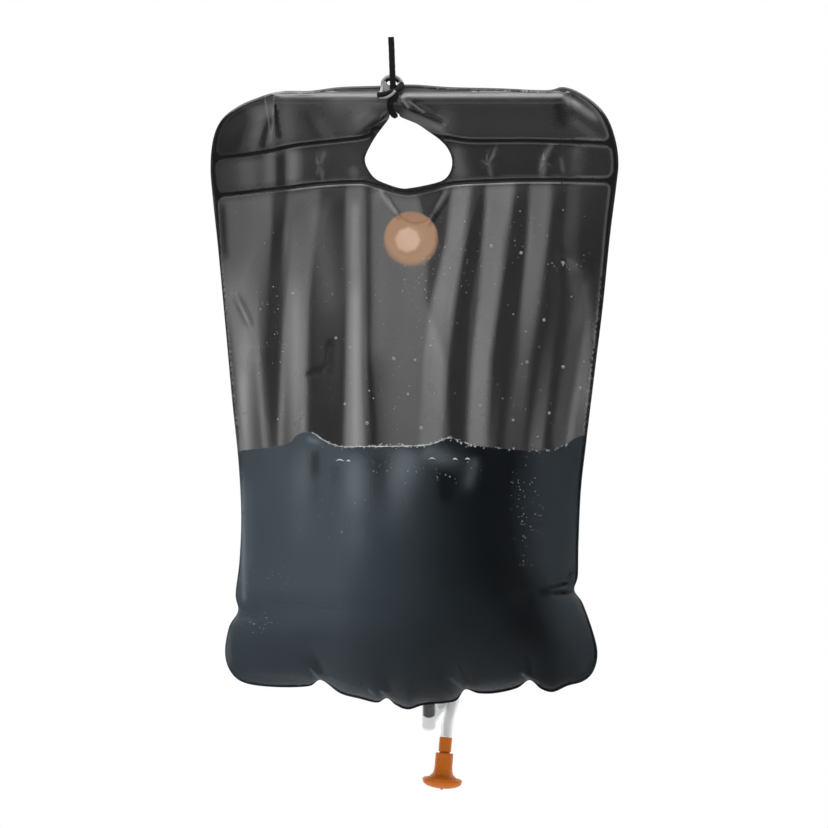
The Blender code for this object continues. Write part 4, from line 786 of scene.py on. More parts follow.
def fold_relief(plan, back):
    """How far the long folds move each film out. Both films buckle the same way."""
    full = np.clip(chamber_bulge(plan) / LONG_FOLD_FULL, 0, 1)
    above = plan[:, 1] - WATER_LINE_Z
    if not back:
        foot = np.clip(above / LONG_FOLD_FOOT + 1, 0, 1)
        return LONG_FOLD * fold_shape(plan) * full * foot ** 2
    foot = step(0, BACK_FOLD_FOOT, above)
    reach = np.hypot(*(plan - VALVE).T)
    seat = FLANGE_DIAMETER / 2 + SEAT_MARGIN + BACK_FOLD_CLEAR
    clear = step(seat, seat + BACK_FOLD_RAMP, reach)
    return -LONG_FOLD * BACK_FOLD_SHARE * fold_shape(plan) * full * foot * clear


print("long folds are given at", len(FOLD_LEVEL_SHARES), "levels")

# %% Write down the single folds
# each fold: start, end, half width, height
FOLDS = (
    # the V under the hand hole
    ((-0.013, -0.152), (0.005, -0.177), 0.0022, 0.0016),
    ((0.059, -0.149), (0.04, -0.183), 0.0026, 0.0018),
    # dents of the dry film
    ((-0.061, -0.303), (-0.064, -0.331), 0.0026, -0.0012),
    ((-0.085, -0.338), (-0.073, -0.334), 0.0024, -0.001),
    ((-0.156, -0.256), (-0.143, -0.284), 0.003, 0.0012),
    ((0.17, -0.216), (0.202, -0.233), 0.006, -0.0012),
    # crumples beside the right-hand notch
    ((0.156, -0.55), (0.179, -0.546), 0.0024, -0.0022),
    ((0.159, -0.558), (0.182, -0.555), 0.0022, -0.002),
    ((0.179, -0.54), (0.182, -0.536), 0.0018, -0.0014),
    ((0.15, -0.545), (0.128, -0.57), 0.009, -0.0016))
# gathers that run up from the notches between the bottom lobes
GATHERS = (
    ((-0.07, -0.644), (-0.083, -0.629), 0.0022, 0.0022),
    ((-0.066, -0.644), (-0.076, -0.62), 0.0036, -0.0028),
    ((-0.0035, -0.661), (-0.011, -0.652), 0.0024, 0.0018),
    ((0.001, -0.66), (-0.005, -0.643), 0.0032, -0.002),
    ((0.0737, -0.653), (0.058, -0.639), 0.0028, 0.002),
    ((0.077, -0.652), (0.07, -0.633), 0.0036, -0.0022),
    ((0.1385, -0.643), (0.13, -0.635), 0.003, 0.0022),
    ((0.14, -0.642), (0.136, -0.623), 0.0036, -0.0024),
    ((-0.021, -0.653), (-0.029, -0.647), 0.0024, -0.0012),
    ((-0.1523, -0.575), (-0.133, -0.583), 0.004, -0.0022))
# soft folds of the pocket and the band above the chamber
POCKET_FOLDS = (
    ((-0.119, -0.07), (-0.118, -0.14), 0.007, 0.0012),
    ((-0.12, -0.08), (-0.128, -0.106), 0.005, -0.001),
    ((-0.105, -0.08), (-0.102, -0.144), 0.007, 0.0012),
    ((-0.089, -0.076), (-0.073, -0.102), 0.005, -0.0003),
    ((-0.028, -0.068), (-0.033, -0.1), 0.007, 0.0008),
    ((-0.068, -0.12), (-0.07, -0.145), 0.006, 0.0008),
    ((-0.039, -0.12), (-0.037, -0.148), 0.006, 0.0008),
    ((0.068, -0.112), (0.072, -0.145), 0.006, 0.0009),
    ((0.1, -0.128), (0.103, -0.144), 0.0045, 0.0008),
    ((0.164, -0.104), (0.156, -0.12), 0.004, 0.0008),
    ((0.155, -0.122), (0.152, -0.145), 0.005, 0.0009),
    ((0.186, -0.112), (0.185, -0.145), 0.006, 0.0008),
    ((0.174, -0.06), (0.203, -0.093), 0.008, 0.0016),
    ((0.169, -0.062), (0.173, -0.085), 0.004, -0.001))
# folds that radiate from where the lashing pinches the sleeve
PINCH_FOLDS = (
    ((0.006, -0.057), (0.019, -0.071), 0.002, 0.0022),
    ((0.017, -0.064), (0.034, -0.076), 0.0016, 0.002),
    ((0.007, -0.065), (0.048, -0.084), 0.0026, -0.0024),
    ((0.014, -0.076), (0.048, -0.096), 0.004, 0.0016),
    ((0.026, -0.074), (0.048, -0.086), 0.0026, -0.0018),
    ((-0.01, -0.072), (-0.03, -0.084), 0.005, 0.0012),
    ((-0.004, -0.083), (-0.023, -0.099), 0.003, -0.002),
    ((-0.005, -0.074), (-0.01, -0.079), 0.001, 0.001),
    ((-0.001, -0.079), (-0.014, -0.088), 0.001, 0.0012))


print("single folds:", sum(map(len, (FOLDS, GATHERS, POCKET_FOLDS, PINCH_FOLDS))))

# %% Add the single folds up
def fold(plan, start, end, width, height):
    """A rounded ridge or valley along a straight stretch, with soft ends."""
    start, end = np.array(start), np.array(end)
    along = end - start
    length = np.linalg.norm(along)
    along = along / length
    rel = plan - start
    run = rel @ along
    off = rel[:, 0] * along[1] - rel[:, 1] * along[0]
    past = np.maximum(np.maximum(-run, run - length), 0)
    ends = hump(past, 0, 2 * width) * step(-width, length / 4, run)
    return height * hump(off, 0, width) * np.maximum(ends, 0)


def all_folds(plan, table):
    """The folds of a table, added up."""
    total = np.zeros(len(plan))
    for row in table:
        total += fold(plan, *row)
    return total


# where the two films of the band are caught together: place, the way its fold runs, depth
PUCKERS = ((-0.071, -0.129, 1.5, 0.001), (0.097, -0.126, 1.15, 0.0012),
           (0.154, -0.125, 1.25, 0.001))
PUCKER_WIDTH = 0.0016
PUCKER_LENGTH = 0.008


def puckers(plan):
    """Small dimples with a short crease that runs out of them."""
    total = np.zeros(len(plan))
    for x, z, turn, height in PUCKERS:
        off = plan - (x, z)
        reach = np.hypot(*off.T)
        total -= height * hump(reach, 0, PUCKER_WIDTH)
        for lean, share in ((0.35, 1.0), (-0.45, 0.7), (3.0, 0.6)):
            way = np.array((math.cos(turn + lean), math.sin(turn + lean))) * PUCKER_LENGTH
            total += fold(plan, (x, z), (x + way[0], z + way[1]), PUCKER_WIDTH, height * share)
    return total


print("puckers:", len(PUCKERS))

# %% [markdown]
# ## Meshing the plan
# Points of the lattice are 3 to 4 mm apart where the film is smooth and 1.4 mm apart round the
# pinch, the valve, the puckers, the notches and the top corners. The welds and the edge get rows
# of points of their own, so that their steps stay crisp.

# %% Write down the lattice and the water line
WELD_ROWS = (-0.004, -0.003, -0.0024, -0.0016, 0.0016, 0.0024, 0.003, 0.004)
EDGE_ROWS = (0.0007, 0.0014, 0.0021, 0.0028, 0.0036, 0.0045, 0.0054, 0.0063, 0.0074)
BAR_ROW_REACH = 0.153
BAR_ROW_CLEAR = 0.0024
BAR_ROWS_HALF = 0.0095
BAR_ROW_STEP = 0.0008
BAR_POINT_STEP = 0.003
COARSE = 0.0042
MIDDLE = 0.003
FINE = 0.0014
LATTICE_CLEAR_SHARE = 0.55
# how far fine points reach round the pinch, the valve, a pucker and a notch
PINCH_FINE, VALVE_FINE, PUCKER_FINE, NOTCH_FINE = 0.042, 0.034, 0.014, 0.022
SIDES_FINE_ABOVE = -0.235
WELD_ROW_CLEAR = 0.003
WATER_LINE_CLEAR = 0.004
WATER_LINE_Z = -0.4095
WATER_CREST = 0.0145
WATER_SHARES = (
    (-0.9, -0.2), (-0.83, -0.25), (-0.63, 0.15), (-0.575, 0.8), (-0.51, 1.0), (-0.44, 0.4),
    (-0.36, 0.0), (-0.24, 0.0), (0.05, 0.1), (0.17, 0.6), (0.25, 0.2), (0.4, -0.1),
    (0.59, -0.3), (0.71, -0.1), (0.8, 0.65), (0.9, 0.9))
water_table = np.array(WATER_SHARES)
WATER_LINE = smooth_line(np.stack([BAG_CENTRE_X + water_table[:, 0] * BAG_WIDTH / 2,
                                   WATER_LINE_Z + water_table[:, 1] * WATER_CREST], axis=1), 8)
SLIT_POINTS = ((-0.1168, -0.068), (-0.115, -0.07), (-0.1138, -0.08), (-0.1128, -0.09),
               (-0.1108, -0.099), (-0.1122, -0.1005), (-0.1145, -0.0985), (-0.115, -0.09),
               (-0.1163, -0.086), (-0.116, -0.078))
SLIT = smooth_line(SLIT_POINTS, 4, closed=True)


print("water line:", len(WATER_LINE), "points")

# %% Choose how fine the lattice is
def hex_lattice(spacing, low_x, high_x, low_z, high_z):
    """A lattice of triangles over a stretch of the plan."""
    rows = int((high_z - low_z) / (spacing * math.sqrt(3) / 2)) + 1
    columns = int((high_x - low_x) / spacing) + 2
    j, i = np.mgrid[0:rows, 0:columns]
    x = low_x + (i + (j % 2) / 2) * spacing
    z = high_z - j * spacing * math.sqrt(3) / 2
    return np.stack([x.ravel(), z.ravel()], axis=1)


def fineness(points):
    """The spacing wanted at each point of the plan."""
    x, z = points[:, 0], points[:, 1]
    wanted = np.where((z < -0.5) & (z > -0.6), COARSE, MIDDLE)
    pinch = np.hypot(x - 0.015, (z + 0.075) * 1.2) < PINCH_FINE
    wanted = np.where(pinch, FINE, wanted)
    wanted = np.where(np.hypot(x - VALVE[0], z - VALVE[1]) < VALVE_FINE, FINE, wanted)
    wanted = np.where((x < BAR_X - BAR_LENGTH / 2) & (z > SIDES_FINE_ABOVE), FINE, wanted)
    wanted = np.where((x > BAR_X + BAR_LENGTH / 2) & (z > SIDES_FINE_ABOVE), FINE, wanted)
    for px, pz, _, _ in PUCKERS:
        wanted = np.where(np.hypot(x - px, z - pz) < PUCKER_FINE, FINE, wanted)
    for nx, nz in NOTCHES:
        wanted = np.where(np.hypot(x - nx, z - nz) < NOTCH_FINE, FINE, wanted)
    return wanted


def rows_beside(line, offsets):
    """Copies of a line moved sideways, as rows of points along a weld."""
    along = np.gradient(line, axis=0)
    along /= np.linalg.norm(along, axis=1)[:, None]
    normal = np.stack([-along[:, 1], along[:, 0]], axis=1)
    return [line + normal * offset for offset in offsets]


print("spacings:", COARSE, MIDDLE, FINE, "m")

# %% Triangulate the plan
def plan_mesh(holes, spacing=None):
    """Points and triangles of the plan between its outline and its holes."""
    points = []
    chains = []

    def add(line, closed):
        first = len(points)
        points.extend(map(tuple, line))
        last = len(points)
        chains.extend((i, i + 1) for i in range(first, last - 1))
        if closed:
            chains.append((last - 1, first))

    add(OUTLINE, True)
    for hole in holes:
        add(hole, True)
    loose = []
    for width in EDGE_ROWS:
        row = moved_in(OUTLINE, width)
        by_bar = (np.abs(row[:, 0] - BAR_X) < BAR_ROW_REACH) & (row[:, 1] > BAR_Z - BAR_ROWS_HALF)
        loose.extend(row[~by_bar] if width > BAR_ROW_CLEAR else row)
    along = np.arange(BAR_X - BAR_ROW_REACH, BAR_X + BAR_ROW_REACH, BAR_POINT_STEP)
    for up in np.arange(-BAR_ROWS_HALF, 0.01, BAR_ROW_STEP):
        row = np.stack([along, np.full(len(along), BAR_Z + up)], axis=1)
        loose.extend(row[inside(row, OUTLINE) & (distance_to(row, OUTLINE) > BAR_ROW_CLEAR)])
    for weld in (LOWER_WELD, UPPER_WELD):
        dense = densified(weld, False)[::5]
        for row in rows_beside(dense, WELD_ROWS):
            keep = inside(row, OUTLINE) & ~inside(row, HOLE)
            keep &= distance_to(row, OUTLINE) > WELD_WIDTH + WELD_ROW_CLEAR
            keep &= distance_to(row, HOLE) > WELD_ROW_CLEAR
            loose.extend(row[keep])
    line = densified(WATER_LINE, False)[::3]
    loose.extend(line[inside(line, OUTLINE) & (distance_to(line, OUTLINE) > WATER_LINE_CLEAR)])
    loose = np.array(loose)
    known = np.concatenate((np.array(points), loose))
    grid = []
    box = (BAG_CENTRE_X - BAG_WIDTH / 2, BAG_CENTRE_X + BAG_WIDTH / 2,
           BAG_TOP_Z - BAG_HEIGHT, BAG_TOP_Z)
    for size in (COARSE, MIDDLE, FINE) if spacing is None else (spacing,):
        lattice = hex_lattice(size, *box)
        if spacing is None:
            lattice = lattice[fineness(lattice) == size]
        grid.append(lattice[nearest(lattice, known) > size * LATTICE_CLEAR_SHARE])
    grid = np.concatenate(grid)
    keep = inside(grid, OUTLINE)
    for hole in holes:
        keep &= ~inside(grid, hole)
    everything = points + [tuple(p) for p in loose] + [tuple(p) for p in grid[keep]]
    verts, _, faces, _, _, _ = geometry.delaunay_2d_cdt([Vector(p) for p in everything],
                                                        chains, [], 0, 1e-7)
    plan = np.array([tuple(v) for v in verts])
    tris = np.array(faces)
    middle = plan[tris].mean(1)
    keep = inside(middle, OUTLINE)
    for hole in holes:
        keep &= ~inside(middle, hole)
    return plan, tris[keep]


front_plan, front_tris = plan_mesh([HOLE, SLIT])
print("front plan:", len(front_plan), "points,", len(front_tris), "triangles")

# %% [markdown]
# ## The clear film
# The front film is soft clear vinyl that has gone hazy. It could be made truly see-through, but
# its haze hides nearly all that lies behind it, so what shows through is painted on the film: the
# orange valve and its pale boss, the slate of the water where it wets the film, the dark welds and
# the bands of haze along the folds. Light and shade are painted on it too: painted light on the
# left-facing flanks of the folds, on the weld beads, over the bar, on the top margin and in the wet
# part; painted shade in creases, on the valve's crease and over the water, darkest at the right.
# Each is a number at every point, and the shader mixes by them. This paint stays on the film, so
# the painted boss doesn't move when the flap behind it swings.

# %% Read painted numbers in a shader
def math_node(nodes, links, operation, first, second, third=None):
    """A Math node on sockets or plain numbers."""
    node = nodes.new("ShaderNodeMath")
    node.operation = operation
    for socket, value in zip(node.inputs, (first, second, third)):
        if isinstance(value, bpy.types.NodeSocket):
            links.new(value, socket)
        elif value is not None:
            socket.default_value = value
    return node.outputs[0]


def painted_on(nodes, name):
    """The numbers painted on the mesh under a name."""
    node = nodes.new("ShaderNodeAttribute")
    node.attribute_name = name
    return node.outputs["Fac"]


print("shader helpers: math_node, painted_on")

# %% Finish the clear film
def dry_film():
    """Outer face of the dry clear film: haze and painted light on its folds, orange near the valve.
    """
    made, nodes, links, shader = new_finish("dry_clear_film", (0.05, 0.05, 0.052), 0.3,
                                            Specular_IOR_Level=0.45)
    painted = {name: painted_on(nodes, name)
               for name in ("haze_and_light", "weld", "near_valve", "pale_centre", "painted_crease_shade")}
    cloud = noise(nodes, links, 16.0, 2.0, (1.6, 1, 0.35))
    clouded = math_node(nodes, links, "MULTIPLY", painted["haze_and_light"],
                        spread(nodes, links, cloud, 0.72, 1.28, 0.0, 1.0))
    colour = blend_colours(nodes, links, clouded, (0.009, 0.009, 0.01), (0.46, 0.46, 0.46))
    glow = blend_colours(nodes, links, painted["pale_centre"], (0.265, 0.16, 0.098),
                         (0.42, 0.28, 0.2))
    # painted shade of the crease over the valve
    glow = blend_colours(nodes, links, painted["painted_crease_shade"], glow, (0.17, 0.07, 0.036))
    colour = blend_colours(nodes, links, painted["near_valve"], colour, glow)
    colour = blend_colours(nodes, links, painted["weld"], colour, (0.004, 0.004, 0.004))
    links.new(colour, shader.inputs["Base Color"])
    rough = spread(nodes, links, noise(nodes, links, 30.0, 2.0), 0.22, 0.37, 0.0, 1.0)
    links.new(rough, shader.inputs["Roughness"])
    solid = math_node(nodes, links, "MULTIPLY_ADD", painted["near_valve"], 0.04, 0.8)
    let_light_in(nodes, links, shader,
                 math_node(nodes, links, "MAXIMUM", solid, painted["weld"]))
    return made


def wet_film():
    """Outer face where water wets the film from inside: slate, with painted shade, nearly black at
    the right.
    """
    made, nodes, links, shader = new_finish("wet_clear_film", (0.04, 0.05, 0.06), 0.5,
                                            Specular_IOR_Level=0.08)
    cloud = noise(nodes, links, 11.0, 2.0, (1.2, 1, 0.6))
    # painted shade of the water, darkest at the right
    clouded = math_node(nodes, links, "ADD", painted_on(nodes, "painted_water_shade"),
                        spread(nodes, links, cloud, 0.0, 0.17, 0.0, 1.0))
    colour = blend_colours(nodes, links, clouded, (0.053, 0.069, 0.082), (0.001, 0.002, 0.003))
    # painted highlights of the wet film
    colour = blend_colours(nodes, links, painted_on(nodes, "wet_painted_light"), colour, (0.23, 0.27, 0.3))
    colour = blend_colours(nodes, links, painted_on(nodes, "weld"), colour, (0.004, 0.004, 0.004))
    links.new(colour, shader.inputs["Base Color"])
    let_light_in(nodes, links, shader,
                 math_node(nodes, links, "MAXIMUM", painted_on(nodes, "weld"), 0.84))
    return made


print("outer faces: dry_film, wet_film")

# %% Let light into the bag
def let_light_in(nodes, links, shader, solid):
    """Mixes the shader with see-through by a value, and lets most light pass to the inside."""
    path = nodes.new("ShaderNodeLightPath")
    shade = spread(nodes, links, path.outputs["Is Shadow Ray"], 1.0, 0.25, 0, 1)
    held = math_node(nodes, links, "MULTIPLY", solid, shade)
    clear = nodes.new("ShaderNodeBsdfTransparent")
    mix = nodes.new("ShaderNodeMixShader")
    links.new(held, mix.inputs[0])
    links.new(clear.outputs[0], mix.inputs[1])
    links.new(shader.outputs[0], mix.inputs[2])
    links.new(mix.outputs[0], nodes["Material Output"].inputs["Surface"])


def film_inside():
    """Inner face of the clear film: a faint haze with no shine of its own."""
    made, nodes, links, shader = new_finish("clear_film_inner_face", (0.1, 0.1, 0.1), 0.6,
                                            Specular_IOR_Level=0.0)
    cloud = noise(nodes, links, 14.0, 4.0)
    let_light_in(nodes, links, shader, spread(nodes, links, cloud, 0.06, 0.14))
    return made


film_finishes = (dry_film(), film_inside(), wet_film(), film_inside())

print("finishes of the clear film:", len(film_finishes))

# %% Raise a film from the plan
def edges_of(plan):
    """Distances of every point to the outline and to the hand hole."""
    return distance_to(plan, OUTLINE), distance_to(plan, HOLE)


def set_values(obj, name, values):
    """Writes one number for each point of a mesh, for its shader to read."""
    attribute = obj.data.attributes.new(name, "FLOAT", "POINT")
    attribute.data.foreach_set("value", np.asarray(values, dtype=np.float32))


def used_by(tris, plan):
    """The points of the plan that triangles use, and the triangles numbered by them."""
    used = np.unique(tris)
    index = np.full(len(plan), -1)
    index[used] = np.arange(len(used))
    return used, index[tris]


def film_object(name, plan, height, tris, back, finishes):
    """A sheet raised from the plan, given its thickness towards the inside."""
    side = 1 if back else -1
    used, faces = used_by(tris, plan)
    verts = np.stack([plan[:, 0], BAG_MID_Y + side * height, plan[:, 1]], axis=1)[used]
    corner = verts[faces[0]]
    normal = np.cross(corner[1] - corner[0], corner[2] - corner[0])
    if normal[1] * side < 0:
        faces = faces[:, ::-1]
    mesh = bpy.data.meshes.new(name)
    mesh.from_pydata(verts.tolist(), [], faces.tolist())
    mesh.shade_smooth()
    obj = placed(name, mesh)
    for finish in finishes:
        mesh.materials.append(finish)
    solid = obj.modifiers.new("film thickness", "SOLIDIFY")
    solid.thickness = FILM
    solid.offset = -1
    solid.material_offset = 1
    solid.material_offset_rim = 1
    crisp = obj.modifiers.new("crisp cut edges", "EDGE_SPLIT")
    crisp.split_angle = math.radians(60)
    return obj, used


print("film thickness", FILM, "m")

# %% Mark the welds
MARGIN_SHARE = 0.38
TOP_MARGIN_SHARE = 0.75
WELD_HALF = 0.0021
CORNER_ROUND = 0.007
HOLE_RIM = 0.0012
SEAM_SOFT = 0.0004
TOP_MARGIN_ABOVE = -0.075


def weld_depth(plan, edge):
    """How far each point lies inside the edge of the nearest weld, and to the cross welds."""
    across = np.minimum(distance_to(plan, LOWER_WELD, closed=False),
                        distance_to(plan, UPPER_WELD, closed=False))
    short = np.maximum(CORNER_ROUND - (edge - seen_weld(plan)), 0)
    other = np.maximum(CORNER_ROUND - (across - WELD_HALF), 0)
    return CORNER_ROUND - np.hypot(short, other), across


def weld_values(plan, edge, hole, depth):
    """1 on the welds, 0 elsewhere, with a narrow soft edge."""
    x, z = plan[:, 0], plan[:, 1]
    margin = seen_weld(plan) * np.where(z > TOP_MARGIN_ABOVE, TOP_MARGIN_SHARE, MARGIN_SHARE)
    seam = step(margin - SEAM_SOFT, margin + SEAM_SOFT, edge)
    seam *= 1 - step(-SEAM_SOFT / 2, SEAM_SOFT, depth)
    # low on the left, and along the foot, the weld is greyer
    greyer = (1 - step(-0.42, -0.37, z)) * (1 - step(-0.12, -0.08, x))
    greyer = np.maximum(0.75 * greyer, 0.45 * (1 - step(-0.635, -0.615, z)))
    across = np.minimum(np.abs(z - height_on(LOWER_WELD, x)), 1)
    seam = seam * (1 - greyer * step(0.001, 0.003, across))
    # the slit's edge painted dark, as the shade of its opening
    slit = distance_to(plan, SLIT)
    seam = np.maximum(seam, (1 - step(0.0003, 0.001, slit)) * (x < -0.1))
    rim = 1 - step(HOLE_RIM, HOLE_RIM + 0.002, hole)
    rim *= (1 - step(-0.104, -0.094, z)) * step(-0.148, -0.14, z)
    return np.maximum(seam, rim)


def weld_beads(depth, hole):
    """The bead of film squeezed out beside the welds, which fades out at the hand hole."""
    return 0.0005 * hump(depth, 0.001, 0.0008) * step(0.001, 0.004, hole)


def window(x, low, high, soft=0.008):
    """1 between two places and 0 outside them, with soft ends."""
    return step(low - soft, low + soft, x) * (1 - step(high - soft, high + soft, x))


def bead_share(x):
    """How much of the welds' bead shows on the front: it is full in two stretches only."""
    return 0.3 + 0.7 * (window(x, -0.101, -0.026) + window(x, 0.049, 0.209))


print("weld half width", WELD_HALF, "m")

# %% Raise the front film
def front_height(plan):
    """How far out the front film stands, with the distances that this was worked out from."""
    edge, hole = edges_of(plan)
    base = bulge(plan, edge, hole, False) + FILM
    depth, across = weld_depth(plan, edge)
    lower = height_on(LOWER_WELD, plan[:, 0])
    soft = step(WELD_WIDTH, WELD_WIDTH + 0.006, edge) * step(HOLE_WELD * 0.5, HOLE_WELD * 1.5, hole)
    soft_weld = step(0.002, 0.006, across)
    chamber = plan[:, 1] < lower
    relief = fold_relief(plan, False) * chamber
    relief += all_folds(plan, FOLDS) * soft_weld
    relief += all_folds(plan, POCKET_FOLDS) * soft_weld * ~chamber
    relief += puckers(plan) * ~chamber
    clear_of_rope = step(0.004, 0.012, np.hypot(plan[:, 0], plan[:, 1] + 0.058))
    relief += all_folds(plan, PINCH_FOLDS) * clear_of_rope
    relief *= soft
    relief += all_folds(plan, GATHERS) * step(WELD_WIDTH * 0.6, WELD_WIDTH + 0.004, edge)
    beads = weld_beads(depth, hole) * bead_share(plan[:, 0])
    return np.maximum(base + relief, FILM + GAP) + beads, edge, hole, depth


print("height of the front film: front_height")

# %% Write down the bands of haze and painted light
# Each band of haze and painted light, at five heights: its left edge, its right edge, its strength
BAND_HEIGHTS = (-0.393, -0.323, -0.263, -0.203, -0.153)
HAZE_AND_LIGHT_BANDS = (
    ((-0.2, -0.123, 0.25), (-0.2, -0.128, 0.24), (-0.2, -0.125, 0.24),
     (-0.2, -0.1205, 0.28), (-0.2, -0.119, 0.28)),
    ((-0.113, -0.084, 0.22), (-0.1105, -0.083, 0.22), (-0.108, -0.0815, 0.22),
     (-0.1075, -0.075, 0.25), (-0.103, -0.071, 0.25)),
    ((-0.047, -0.023, 0.32), (-0.045, -0.025, 0.32), (-0.045, -0.027, 0.32),
     (-0.045, -0.026, 0.32), (-0.0445, -0.027, 0.32)),
    ((-0.015, 0.056, 0.25), (-0.02, 0.054, 0.27), (-0.019, 0.035, 0.3),
     (-0.02, 0.037, 0.3), (-0.019, 0.027, 0.3)),
    ((0.029, 0.05, 0.22), (0.033, 0.056, 0.28), (0.0405, 0.064, 0.5),
     (0.055, 0.073, 0.5), (0.061, 0.08, 0.45)),
    ((0.077, 0.097, 0.47), (0.081, 0.0995, 0.5), (0.0875, 0.107, 0.46),
     (0.092, 0.114, 0.44), (0.095, 0.123, 0.42)),
    ((0.115, 0.134, 0.12), (0.127, 0.138, 0.22), (0.131, 0.1475, 0.3),
     (0.136, 0.156, 0.34), (0.139, 0.16, 0.32)),
    ((0.162, 0.21, 0.19), (0.173, 0.21, 0.16), (0.182, 0.199, 0.15),
     (0.171, 0.183, 0.09), (0.177, 0.189, 0.12)))
BAND_SOFT_LEFT = 0.0034
BAND_SOFT_RIGHT = 0.0044
GAP_HAZE = 0.036
POCKET_HAZE = 0.14
BAND_HAZE = 0.08
LEAST_HAZE = 0.02
# painted highlights: on the weld beads below and above the lower weld, on a bead at the right, over
# the bar, on the top margin
BEAD_LIGHT_BELOW = 0.4
BEAD_LIGHT_ABOVE = 0.16
SIDE_BEAD_LIGHT = 0.16
BAR_LIGHT = 0.36
TOP_MARGIN_LIGHT = 0.5
HAZE_AND_LIGHT_FULL = 1.45
print("milky bands:", len(HAZE_AND_LIGHT_BANDS))

# %% Write down the strokes of the dry film
# soft strokes of painted light and painted shade: start, end, half width, strength
POCKET_STROKES = (
    ((-0.128, -0.07), (-0.134, -0.112), 0.008, 0.18),
    ((-0.121, -0.06), (-0.12, -0.103), 0.004, 0.2),
    ((-0.119, -0.078), (-0.128, -0.105), 0.0045, -0.36),
    ((-0.105, -0.066), (-0.102, -0.106), 0.008, 0.14),
    ((-0.088, -0.074), (-0.073, -0.103), 0.005, -0.07),
    ((-0.073, -0.08), (-0.061, -0.106), 0.006, 0.08),
    # the lashing's pinch: painted light on ridges and on the rim of the hole, painted shade in
    # creases
    ((0.0068, -0.058), (0.0168, -0.069), 0.0013, 0.7),
    ((0.0058, -0.0575), (0.007, -0.063), 0.0014, 0.5),
    ((0.0168, -0.064), (0.032, -0.0747), 0.0011, 0.6),
    ((0.0055, -0.064), (0.014, -0.07), 0.0011, -0.4),
    ((0.014, -0.07), (0.0476, -0.0834), 0.0016, -0.4),
    ((0.02, -0.062), (0.038, -0.074), 0.003, -0.3),
    ((0.009, -0.074), (0.044, -0.092), 0.005, 0.24),
    ((0.006, -0.08), (0.024, -0.087), 0.0012, 0.26),
    ((-0.0053, -0.074), (-0.0093, -0.0787), 0.0007, 0.6),
    ((-0.0012, -0.0793), (-0.014, -0.0874), 0.0007, 0.55),
    ((-0.006, -0.078), (-0.022, -0.094), 0.0016, -0.3),
    ((-0.06, -0.064), (-0.026, -0.07), 0.012, 0.18),
    ((-0.03, -0.078), (-0.034, -0.1), 0.01, 0.14),
    ((-0.006, -0.08), (-0.03, -0.098), 0.006, -0.24),
    ((0.056, -0.074), (0.05, -0.098), 0.01, 0.1),
    ((0.169, -0.058), (0.201, -0.078), 0.0036, 0.34),
    ((0.172, -0.059), (0.186, -0.067), 0.0024, 0.3),
    ((0.167, -0.064), (0.17, -0.08), 0.004, -0.2),
    ((0.178, -0.074), (0.208, -0.096), 0.005, -0.06),
    ((0.18, -0.08), (0.204, -0.1), 0.0056, 0.13),
    ((-0.152, -0.075), (-0.166, -0.11), 0.013, -0.24))
# painted light and painted shade of the band between the welds
BAND_STROKES = (
    ((-0.143, -0.122), (-0.141, -0.152), 0.013, 0.18),
    ((-0.121, -0.11), (-0.12, -0.15), 0.007, 0.26),
    ((-0.11, -0.112), (-0.11, -0.148), 0.005, -0.3),
    ((-0.098, -0.11), (-0.099, -0.148), 0.008, 0.42),
    ((-0.066, -0.112), (-0.07, -0.128), 0.003, 0.1),
    ((-0.07, -0.132), (-0.068, -0.146), 0.0024, 0.2),
    ((-0.0375, -0.13), (-0.0365, -0.15), 0.0048, 0.18),
    ((0.063, -0.11), (0.072, -0.146), 0.008, 0.2),
    ((0.106, -0.108), (0.099, -0.1245), 0.0017, 0.22),
    ((0.098, -0.128), (0.1015, -0.147), 0.0026, 0.18),
    ((0.09, -0.123), (0.096, -0.1265), 0.0014, 0.12),
    ((0.162, -0.106), (0.1545, -0.118), 0.0022, 0.24),
    ((0.153, -0.119), (0.15, -0.149), 0.0034, 0.34),
    ((0.156, -0.126), (0.159, -0.128), 0.0012, 0.12),
    ((0.17, -0.12), (0.172, -0.133), 0.0022, 0.16),
    ((0.187, -0.108), (0.185, -0.148), 0.008, 0.11))
# painted light and painted shade of the dry chamber: the V under the hand hole, dents and bands
CHAMBER_STROKES = (
    ((-0.013, -0.152), (0.004, -0.174), 0.0024, 0.34),
    ((-0.009, -0.152), (0.008, -0.175), 0.0016, -0.24),
    ((0.059, -0.149), (0.039, -0.181), 0.0026, 0.34),
    ((0.053, -0.15), (0.034, -0.18), 0.0018, -0.24),
    ((-0.06, -0.303), (-0.063, -0.331), 0.0018, -0.3),
    ((-0.085, -0.338), (-0.073, -0.334), 0.0016, -0.22),
    ((-0.157, -0.258), (-0.144, -0.283), 0.0012, 0.2),
    # painted shade in the hollow beside the left weld and beside the disc, and a painted bright core
    # of one band
    ((-0.169, -0.162), (-0.166, -0.215), 0.0042, -0.24),
    ((0.033, -0.153), (0.042, -0.18), 0.006, -0.26),
    ((-0.149, -0.268), (-0.148, -0.41), 0.0085, 0.28),
    ((-0.149, -0.295), (-0.147, -0.41), 0.0075, 0.26),
    ((-0.148, -0.33), (-0.1465, -0.41), 0.006, 0.22),
    ((-0.095, -0.235), (-0.095, -0.41), 0.0062, 0.26),
    ((-0.039, -0.158), (-0.037, -0.225), 0.005, 0.14),
    ((-0.036, -0.225), (-0.035, -0.41), 0.0052, 0.38),
    ((-0.071, -0.16), (-0.062, -0.255), 0.011, 0.11),
    ((-0.1115, -0.156), (-0.115, -0.215), 0.005, -0.05),
    ((-0.016, -0.315), (-0.012, -0.41), 0.012, -0.13),
    # the last band on the right starts again lower down
    ((0.196, -0.24), (0.189, -0.285), 0.0046, 0.08))
print("dry strokes:", sum(map(len, (POCKET_STROKES, BAND_STROKES, CHAMBER_STROKES))))
